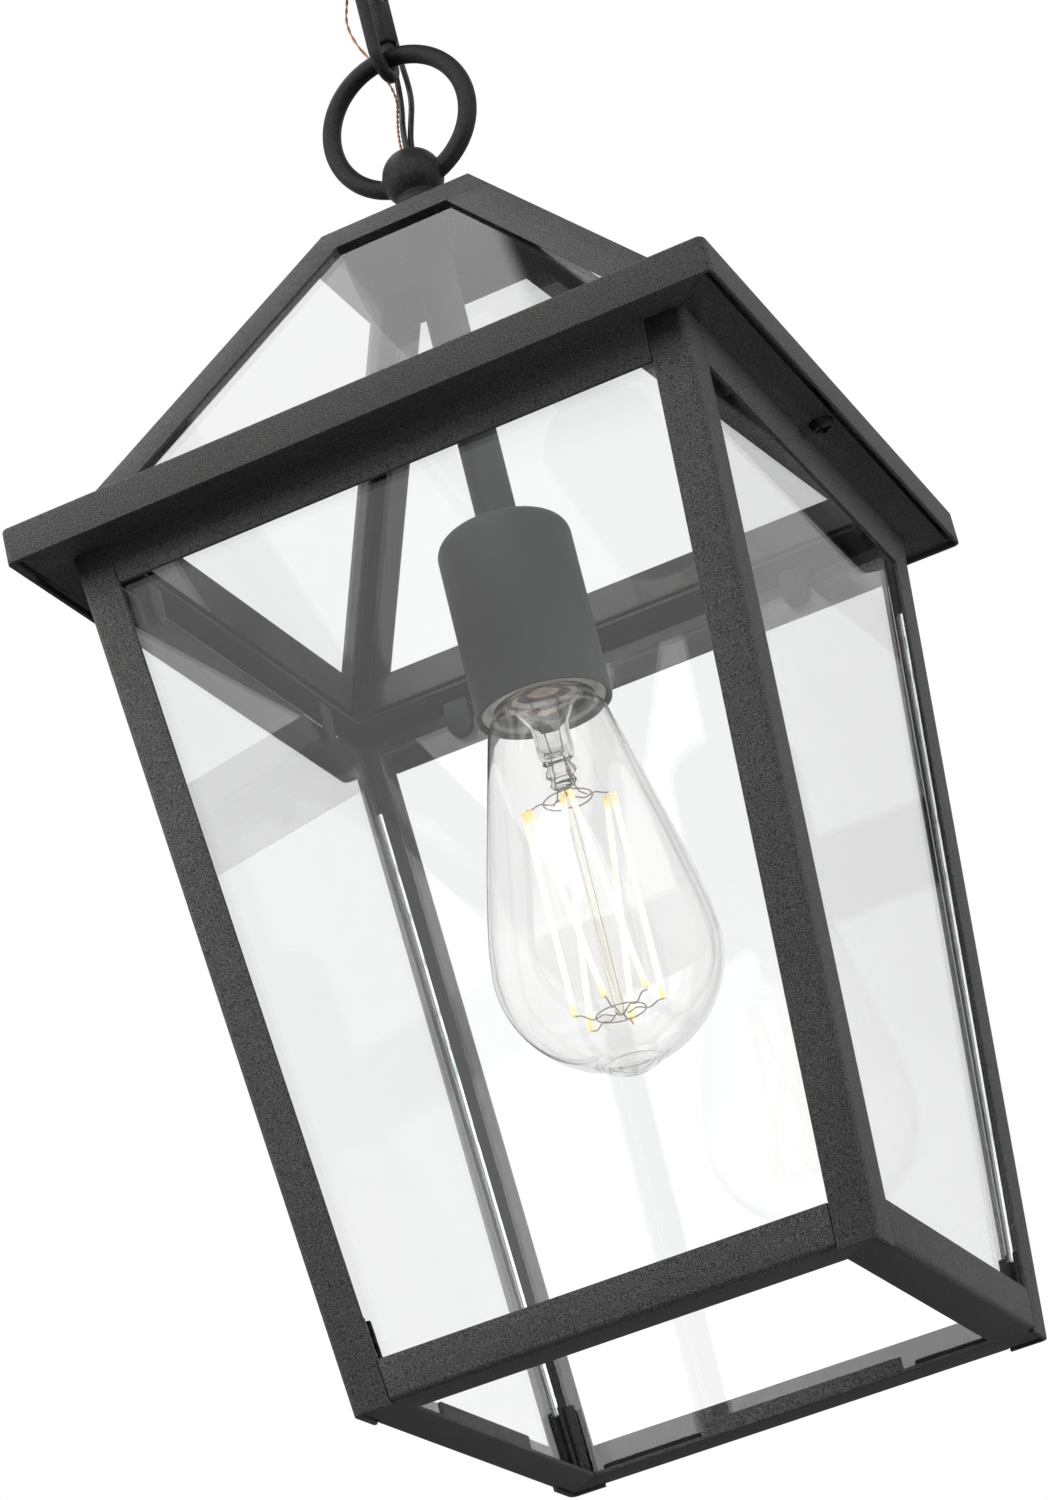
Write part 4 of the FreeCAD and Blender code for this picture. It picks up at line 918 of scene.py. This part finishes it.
def skin(wall):
    """The profile of the glass, moved in by a wall: shoulder, round end and sealed tip."""
    radius = LAMP_R - wall
    last = -math.degrees(math.acos(PIP_R / radius))
    tip_at = LAMP_FOOT + PIP[-1][1] + wall
    tip = [(max(0.0, r - wall * 0.5) if r else 0.0, tip_at - d) for r, d in PIP]
    return ([(r - wall, z) for r, z in rounded_profile(SHOULDER)]
            + arc((0, WIDEST), radius, 0, last, 44) + rounded_profile(tip, 5))


LAMP_WALL = 0.7
turned("lamp_envelope", skin(0.0) + skin(LAMP_WALL)[::-1], LAMP_GLASS, "lamp", "lamp_glass",
       around=144, degrees=60)

# %% [markdown]
# ### The glass stem
# A wide bell in the neck draws down to a tube. The tube ends in a pinch, squeezed flat in two
# places on the hot lead wires, and a thin rod goes on down the middle.

# %% Stem of the lamp
STEM_HEAD, STEM_FOOT = top_of("lamp_stem"), foot_of("lamp_stem")
TUBE_END, PINCH_END = NECK - 17.4, NECK - 26.9
bell = rounded_profile([(12.3, STEM_HEAD), (10.4, STEM_HEAD - 1.4), (7.6, STEM_HEAD - 4.2),
                        (5.6, STEM_HEAD - 8.4), (5.2, STEM_HEAD - 12.0), (5.1, TUBE_END),
                        (4.2, TUBE_END - 2.4), (3.0, TUBE_END - 3.6), (3.7, TUBE_END - 5.4),
                        (3.9, TUBE_END - 6.6), (2.9, TUBE_END - 8.0), (3.4, PINCH_END),
                        (2.2, PINCH_END - 1.7), (1.6, PINCH_END - 2.6)])
rod_line = [(1.55, PINCH_END - 5), (1.55, STEM_FOOT + 1.6)] + arc((0, STEM_FOOT + 1.6), 1.6, 0,
                                                                  -90, 6)
hollow = [(0.0, TUBE_END - 1.0), (2.6, TUBE_END - 0.6), (4.2, TUBE_END + 1.4),
          (4.3, STEM_HEAD - 12.0), (4.7, STEM_HEAD - 8.4), (6.7, STEM_HEAD - 4.0),
          (9.6, STEM_HEAD - 1.2), (11.4, STEM_HEAD)]
stem = turned("lamp_stem_glass", bell + rod_line + hollow, STEM_GLASS, "lamp", "lamp_stem",
              around=48, degrees=60)
stem.data.materials.append(ROD_GLASS)
for polygon in stem.data.polygons:
    if polygon.center.z < (PINCH_END - 2) * MM:
        polygon.material_index = 1
PINCH_WIDER, PINCH_THINNER = 1.18, 0.72
for v in stem.data.vertices:
    if PINCH_END - 1.5 < v.co.z / MM < TUBE_END - 2.5:
        v.co.x *= PINCH_WIDER
        v.co.y *= PINCH_THINNER

# %% [markdown]
# ### Support wires and filaments
# The wires and filaments follow straight lines between points round the rod. Geometry Nodes turn
# a mesh of edges into curves and sweep each with a round section. The thickness is an input, so
# one tree serves both.

# %% Wire tree
def wire_tree():
    """A round section swept along a mesh's edges."""
    tree, given, result = new_group(
        "round_wire", "GeometryNodeTree",
        [("Edges", SHAPE, None), ("Radius", FLOAT, 0.0003), ("Around", WHOLE, 10),
         ("Finish", MATERIAL, None)],
        [("Geometry", SHAPE)])
    curves = add(tree, "GeometryNodeMeshToCurve", Mesh=given["Edges"])
    section = add(tree, "GeometryNodeCurvePrimitiveCircle", Resolution=given["Around"],
                  Radius=given["Radius"])
    swept = add(tree, "GeometryNodeCurveToMesh", Curve=curves,
                Profile_Curve=section, Fill_Caps=True)
    shaded = add(tree, "GeometryNodeSetShadeSmooth", Geometry=swept)
    return close_tree(tree, shaded, given["Finish"], result)


WIRE_TREE = wire_tree()


def wired(name, lines, radius, around, material, node):
    """Round wires in the lamp along lines of points, in millimetres."""
    mesh = bpy.data.meshes.new(name)
    points, edges = [], []
    for line in lines:
        first = len(points)
        points += [[c * MM for c in p] for p in line]
        edges += [(first + i, first + i + 1) for i in range(len(line) - 1)]
    mesh.from_pydata(points, edges, [])
    made = grown(name, WIRE_TREE, {"Radius": radius * MM, "Around": around, "Finish": material},
                 material, mesh)
    return seat(smooth(made, 50), "lamp", node)


UPPER_RING = NECK - 32.0
LOWER_RING = STEM_FOOT + 0.8
RING_OF_WIRE = 7
SUPPORT_R, FILAMENT_R = 0.22, 0.8
TURN = math.radians(18.0)
UPPER_ENDS = [(-11.9, 0.0), (-0.4, -9.4), (11.6, 0.6)]
LOWER_ENDS = [(-12.4, -0.6, 1.6), (-3.2, -11.2, 1.2), (-9.2, 10.0, 0.0), (8.2, -10.6, 1.2),
              (2.6, 10.4, 0.0), (12.2, 0.4, 0.8)]


def about_axis(x, y, z):
    return (x * math.cos(TURN) - y * math.sin(TURN), x * math.sin(TURN) + y * math.cos(TURN), z)


def support_lines(tips, height):
    """A ring round the rod, and an arm from the rod through the ring to each tip."""
    lines = [[(RING_OF_WIRE * math.cos(a), RING_OF_WIRE * math.sin(a), height)
              for a in np.linspace(0, 2 * math.pi, 49)]]
    for x, y, z in tips:
        r = math.hypot(x, y)
        dip = -0.5 if z > height else 0.5
        rise = (z - height) / (r - RING_OF_WIRE)
        lines.append([(x / r * s, y / r * s, height + rise * max(0, s - RING_OF_WIRE)
                       + dip * math.sin(s)) for s in np.linspace(1.7, r, 14)])
    return lines


uppers = [about_axis(x, y, UPPER_RING) for x, y in UPPER_ENDS]
lowers = [about_axis(x, y, LOWER_RING + rise) for x, y, rise in LOWER_ENDS]
leads = [[(side * x, 0.4 * x, z) for x, z in ((4.6, STEM_HEAD + 2), (2.6, STEM_HEAD - 6),
                                              (1.9, TUBE_END + 2), (1.5, TUBE_END - 3),
                                              (1.9, PINCH_END + 1), (3.4, PINCH_END - 3.4),
                                              (5.2, UPPER_RING + 0.4))] for side in (-1, 1)]
wired("lamp_support_wires", support_lines(uppers, UPPER_RING) + support_lines(lowers, LOWER_RING)
      + leads, SUPPORT_R, 8, SUPPORT_WIRE, "lamp_supports")
PAIRS = [(0, 0), (0, 1), (1, 2), (1, 3), (2, 4), (2, 5)]
strips = []
for high, low in PAIRS:
    a, b = Vector(uppers[high]), Vector(lowers[low])
    aside = Vector((b.x - a.x, b.y - a.y, 0))
    aside = aside.normalized() * 1.15 if aside.length > 0.01 else aside
    down = (b - a).normalized()
    strips.append([tuple(b - down * 0.4), tuple(a + aside + down * 1.3)])
wired("lamp_filament_strips", strips, FILAMENT_R, 16, FILAMENT, "lamp_filaments")

# %% [markdown]
# ## Pads and sealant
# The pads in the foot corners are soft black sleeves with round shoulders. They reach a little
# higher than their plain solids and lap over the inner faces of the side panes. The sealant is
# a hand-run bead, uneven along its length.

# %% Pads and sealant
def stretched(mesh, share):
    """Lengthens pads upward, and moves them out with the panes as they go up."""
    foot = min(v.co.z for v in mesh.vertices)
    sizes = pane_sizes("pane_left", "left")
    lean = ((sizes["Half Width High"] - sizes["Half Width Low"]) /
            (sizes["Head"] - sizes["Foot"]))
    for v in mesh.vertices:
        rise = (v.co.z - foot) * (share - 1)
        v.co += Vector((math.copysign(rise * lean, v.co.x), math.copysign(rise * lean, v.co.y),
                        rise))


PAD_LONGER = 1.22
LAP_HEIGHT, LAP_REACH, LAP_SHEET, LAP_GAP = 22 * MM, 2.3 * MM, 1.3 * MM, 0.1 * MM


def pad_laps():
    """The corners of the laps that the pads have over the side panes' inner faces."""
    sizes = pane_sizes("pane_left", "left")

    def at(title, z):
        share = (z - sizes["Foot"]) / (sizes["Head"] - sizes["Foot"])
        return sizes[f"{title} Low"] + share * (sizes[f"{title} High"] - sizes[f"{title} Low"])

    laps = []
    for sx in (-1, 1):
        for sy in (-1, 1):
            lap = []
            for z in (sizes["Foot"], sizes["Foot"] + LAP_HEIGHT):
                face, end = at("Face", z) - sizes["Thickness"] - LAP_GAP, at("Half Width", z)
                lap += [(sx * x, sy * y, z) for x, y in (
                    (face, end - LAP_REACH), (face, end + LAP_GAP),
                    (face - LAP_SHEET, end + LAP_GAP), (face - LAP_SHEET, end - LAP_REACH))]
            laps.append(lap)
    return laps


BOX_FACES = ((3, 2, 1, 0), (4, 5, 6, 7), (0, 1, 5, 4), (1, 2, 6, 5), (2, 3, 7, 6), (3, 0, 4, 7))
WAVES = (900, 760)


def soft_copy(node, name, material, voxel, rounds, wobble=0.0, longer=1.0, laps=()):
    """A solid's copy remeshed and smoothed until its corners are soft."""
    made = link(name, clean_copy(node, name), material)
    stretched(made.data, longer)
    work = bmesh.new()
    work.from_mesh(made.data)
    for lap in laps:
        v = [work.verts.new(corner) for corner in lap]
        for face in BOX_FACES:
            work.faces.new([v[i] for i in face])
    outward(work).to_mesh(made.data)
    work.free()
    modify(made, "REMESH", mode="VOXEL", voxel_size=voxel * MM)
    modify(made, "SMOOTH", factor=0.5, iterations=rounds)
    settle(made)
    if wobble:
        for v in made.data.vertices:
            wave = math.sin(v.co.x * WAVES[0]) * math.sin(v.co.y * WAVES[1] + 1.7)
            v.co += v.normal * (wobble * MM * wave)
    return seat(smooth(repaint(made, material), 80), "lantern", node)


soft_copy("corner_pads", "corner_pads_soft", RUBBER, 0.28, 12, longer=PAD_LONGER,
          laps=pad_laps())
soft_copy("glass_sealant", "glass_sealant_bead", SEALANT_AND_PAINTED_SHADE, 0.45, 3, wobble=0.3)

# %% [markdown]
# ## The three wires
# Two insulated leads and a bare ground wire leave the ball's wireway, pass behind the link and go
# up into the ceiling loop. Each is a free cord in two lengths that meet behind the sleeve, and
# each length crosses one joint. Its line is a NURBS curve with listed control points,
# and a round tube follows it. The ground wire is two strands twisted together.

# %% Routes
LEAD_A_LOW = [(0.5, -1.1, -128.0), (0.5, -1.1, -121.0), (0.2, 1.6, -113.0), (-0.4, 6.6, -105.0),
              (-1.0, 10.6, -96.0), (-1.2, 12.2, -86.0), (-1.2, 12.2, -76.0)]
LEAD_B_LOW = [(1.2, 1.2, -128.0), (1.2, 1.2, -121.0), (2.4, 3.2, -112.5), (3.1, 6.8, -104.0),
              (2.3, 10.8, -95.0), (1.2, 12.4, -85.0), (1.2, 12.4, -76.0)]
GROUND_LOW = [(-1.6, 0.3, -128.0), (-1.6, 0.3, -122.0), (-1.9, 2.0, -115.0),
              (-2.0, 6.0, -106.5), (-1.8, 9.8, -98.0), (-4.6, 11.2, -87.0), (-9.6, 9.8, -76.0)]
LEAD_A_HIGH = [(-1.2, 12.2, -76.0), (-1.2, 12.3, -66.0), (-1.2, 11.9, -55.3),
               (-0.6, 7.4, -46.6), (-0.3, -0.6, -42.0), (-0.5, -1.1, -36.0)]
LEAD_B_HIGH = [(1.2, 12.4, -76.0), (1.2, 12.4, -66.0), (1.6, 11.4, -55.0), (2.0, 7.0, -46.6),
               (1.8, 0.6, -41.5), (1.6, 0.4, -35.0)]
GROUND_HIGH = [(-9.6, 9.8, -76.0), (-12.4, 9.1, -68.0), (-9.6, 8.8, -58.5),
               (-5.2, 5.6, -49.5), (-2.1, 1.2, -43.5), (-1.9, 1.0, -36.0)]


def spline_points(route, per_span):
    """Points along the NURBS line that has a route as its control points, in metres."""
    curve = bpy.data.curves.new("route", "CURVE")
    curve.dimensions = "3D"
    curve.resolution_u = per_span
    spline = curve.splines.new("NURBS")
    spline.points.add(len(route) - 1)
    for point, place in zip(spline.points, route):
        point.co = (*(c * MM for c in place), 1)
    spline.order_u = 3
    spline.use_endpoint_u = True
    holder = bpy.data.objects.new("route", curve)
    scene.collection.objects.link(holder)
    graph = bpy.context.evaluated_depsgraph_get()
    mesh = bpy.data.meshes.new_from_object(holder.evaluated_get(graph))
    points = [v.co.copy() for v in mesh.vertices]
    bpy.data.objects.remove(holder)
    return points


def length_of(points):
    """The length of a line of points."""
    return sum((b - a).length for a, b in zip(points, points[1:]))


def twisted(points, offset, turns):
    """Two lines wound round a line."""
    strands = ([], [])
    for i, (point, side, other) in enumerate(directions(points)):
        a = 2 * math.pi * turns * i / (len(points) - 1)
        around = (side * math.cos(a) + other * math.sin(a)) * offset
        strands[0].append(point + around)
        strands[1].append(point - around)
    return strands


STEPS, TWISTED_STEPS = 14, 24
LOW_BEND = ((0, 0.006, -0.121), (0, 0.012, -0.083))
HIGH_BEND = ((0, 0.012, -0.073), (0, 0.004, -0.044))
LEAD_R, GROUND_R, STRAND = 0.9 * MM, 0.45 * MM, 0.98


def wire(node, route, twist):
    """A cord piece along a route, between two bodies. A twist makes two strands."""
    line = spline_points(route, TWISTED_STEPS if twist else STEPS)
    if twist:
        radius, material = GROUND_R, COPPER
        work = bmesh.new()
        for points in twisted(line, radius / 2, twist):
            work.from_mesh(mesh_of(tube_along(points, radius / 2 * STRAND, 10), "strand"))
    else:
        radius, material = LEAD_R, INSULATION
        work = tube_along(line, radius, 20)
    made = smooth(link(f"{node}_wire", mesh_of(work, f"{node}_wire"), material), 60)
    if node.endswith("_low"):
        bodies, bend = ("lantern", "quick_link"), LOW_BEND
    else:
        bodies, bend = ("quick_link", "ceiling_mount"), HIGH_BEND
    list(bodies)
    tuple(bend[0])
    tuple(bend[1])
    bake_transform(made)
    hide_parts(node)
    tuple(line[0])
    length_of(line)
    print(node, "length", round(length_of(line), 4))


for node, route, twist in (
        ("lead_a_low", LEAD_A_LOW, 0), ("lead_b_low", LEAD_B_LOW, 0),
        ("ground_low", GROUND_LOW, 9), ("lead_a_high", LEAD_A_HIGH, 0),
        ("lead_b_high", LEAD_B_HIGH, 0), ("ground_high", GROUND_HIGH, 7)):
    wire(node, route, twist)

# %% [markdown]
# ## The room
# The room has one brightness for each way of meeting it. It is white where the camera sees it.
# Faces mirror a room that is brighter in front and darker below. Its ceiling is white up to a
# sharp edge just left of straight overhead, and dark beyond that. Through glass the room is
# white, with a softbox high in front, and dimmer behind on the right and above. The object
# itself is lit by a much dimmer room, so that the lamps shape it.

# %% Room
world = bpy.data.worlds.new("room")
scene.world = world
world.use_nodes = True
world.cycles.sampling_method = "NONE"
tree = world.node_tree
tree.nodes.clear()
path = add(tree, "ShaderNodeLightPath").outputs
toward = add(tree, "ShaderNodeTexCoord").outputs["Generated"]
way = add(tree, "ShaderNodeSeparateXYZ", n0=toward).outputs


def between(axis, low, high, at_low, at_high):
    """A soft step along an axis, from one level to another."""
    return mapped(tree, way[axis], low, high, at_low, at_high, _interpolation_type="SMOOTHSTEP")


def chosen(mask, plain, special):
    """One level where a mask is 0, and another where it is 1."""
    return add(tree, "ShaderNodeMix", n0=mask, n2=plain, n3=special).outputs[0]


def times(*levels):
    """Two levels multiplied."""
    return maths(tree, "MULTIPLY", *levels)


SEEN, FRONT, REAR, CEILING, BELOW, OVERHEAD = 1.0, 1.08, 0.42, 1.3, 0.2, 0.08
SOFTBOX, BEHIND_RIGHT, ABOVE = 1.6, 0.7, 0.82
FILL_BELOW, FILL_ABOVE = 0.16, 0.11
mirrored = maths(tree, "ADD", between("Y", -0.75, 0.1, FRONT, REAR),
                 between("Z", 0.7, 0.94, 0.0, CEILING))
mirrored = times(mirrored, between("Z", -0.3, 0.05, BELOW, 1.0))
mirrored = times(mirrored, chosen(between("Z", 0.75, 0.85, 0.0, 1.0), 1.0,
                                  between("X", -0.2475, -0.2425, 1.0, OVERHEAD)))
softbox = times(between("Y", -0.6, -0.45, 1.0, 0.0), between("Z", 0.34, 0.4, 0.0, SOFTBOX))
behind_right = times(between("X", 0.0, 0.2, 0.0, 1.0), between("Y", 0.4, 0.6, 0.0, 1.0))
through = maths(tree, "ADD", softbox, chosen(behind_right, 1.0, BEHIND_RIGHT))
through = times(through, between("Z", 0.455, 0.475, 1.0, ABOVE))
fill = between("Z", -0.6, 0.6, FILL_BELOW, FILL_ABOVE)
after_diffuse = maths(tree, "GREATER_THAN", path["Diffuse Depth"], 0.5)
level = chosen(path["Is Glossy Ray"], fill, mirrored)
level = chosen(path["Is Transmission Ray"], level, through)
level = chosen(after_diffuse, level, fill)
level = chosen(path["Is Camera Ray"], level, SEEN)
room = add(tree, "ShaderNodeBackground", Color=(1, 1, 1, 1), Strength=level)
add(tree, "ShaderNodeOutputWorld", Surface=room)
print("room:", len(tree.nodes), "nodes")

# %% [markdown]
# ## The floor and the lamps
# The floor is far below. It is pale to the camera, straight or through glass, and no brighter to
# the object. From below it is clear, so a low camera still sees the lantern. The main lamp is
# tall and stands far to the right, a small one to the left of the front gives the front faces
# their tone, and a faint one is overhead. Mirrors and glass don't show them.

# %% Floor and lamps
FLOOR, FLOOR_GREY, FLOOR_GLOW = -1.5, 0.28, 0.66
work = bmesh.new()
bmesh.ops.create_grid(work, x_segments=2, y_segments=2, size=6.0)
floor = link("floor", mesh_of(work, "floor"))
floor.data.transform(Matrix.Translation((0, 0, FLOOR)))
pale, tree = new_material("pale_floor")
path = add(tree, "ShaderNodeLightPath").outputs
seen = maths(tree, "MULTIPLY",
             maths(tree, "MAXIMUM", path["Is Camera Ray"], path["Is Transmission Ray"]),
             maths(tree, "LESS_THAN", path["Diffuse Depth"], 0.5))
shade = ramp(tree, noise(tree, 3.0), (0.3, 0.78), (0.7, 0.82))
colour = add(tree, "ShaderNodeMix", _data_type="RGBA", n0=seen, n6=shade,
             n7=(FLOOR_GREY, FLOOR_GREY, FLOOR_GREY, 1))
shader = add(tree, "ShaderNodeBsdfPrincipled", Base_Color=colour.outputs[2], Roughness=0.8,
             Emission_Color=(1, 1, 1, 1),
             Emission_Strength=maths(tree, "MULTIPLY", seen, FLOOR_GLOW))
clear = add(tree, "ShaderNodeBsdfTransparent")
below = add(tree, "ShaderNodeNewGeometry").outputs["Backfacing"]
ended(pale, add(tree, "ShaderNodeMixShader", Fac=below, n1=shader, n2=clear))
floor.data.materials.append(pale)
MIDDLE, SPREAD = Vector((0, 0, -0.32)), math.radians(100)
for name, place, size, power in (
        ("right_light", (2.4, -0.3, 0.0), (0.6, 2.4), 27.0),
        ("front_light", (-0.7, -0.72, 0.17), (0.3, 0.5), 7.2),
        ("top_light", (0.3, 0.4, 1.9), (1.2, 1.2), 0.1)):
    lamp = bpy.data.lights.new(name, "AREA")
    lamp.shape = "RECTANGLE"
    lamp.size, lamp.size_y = size
    lamp.energy = power
    lamp.spread = SPREAD
    made = bpy.data.objects.new(name, lamp)
    scene.collection.objects.link(made)
    made.location = place
    made.rotation_euler = (MIDDLE - made.location).to_track_quat("-Z", "Y").to_euler()
    made.visible_glossy = made.visible_transmission = False
print("lamps:", len(bpy.data.lights))
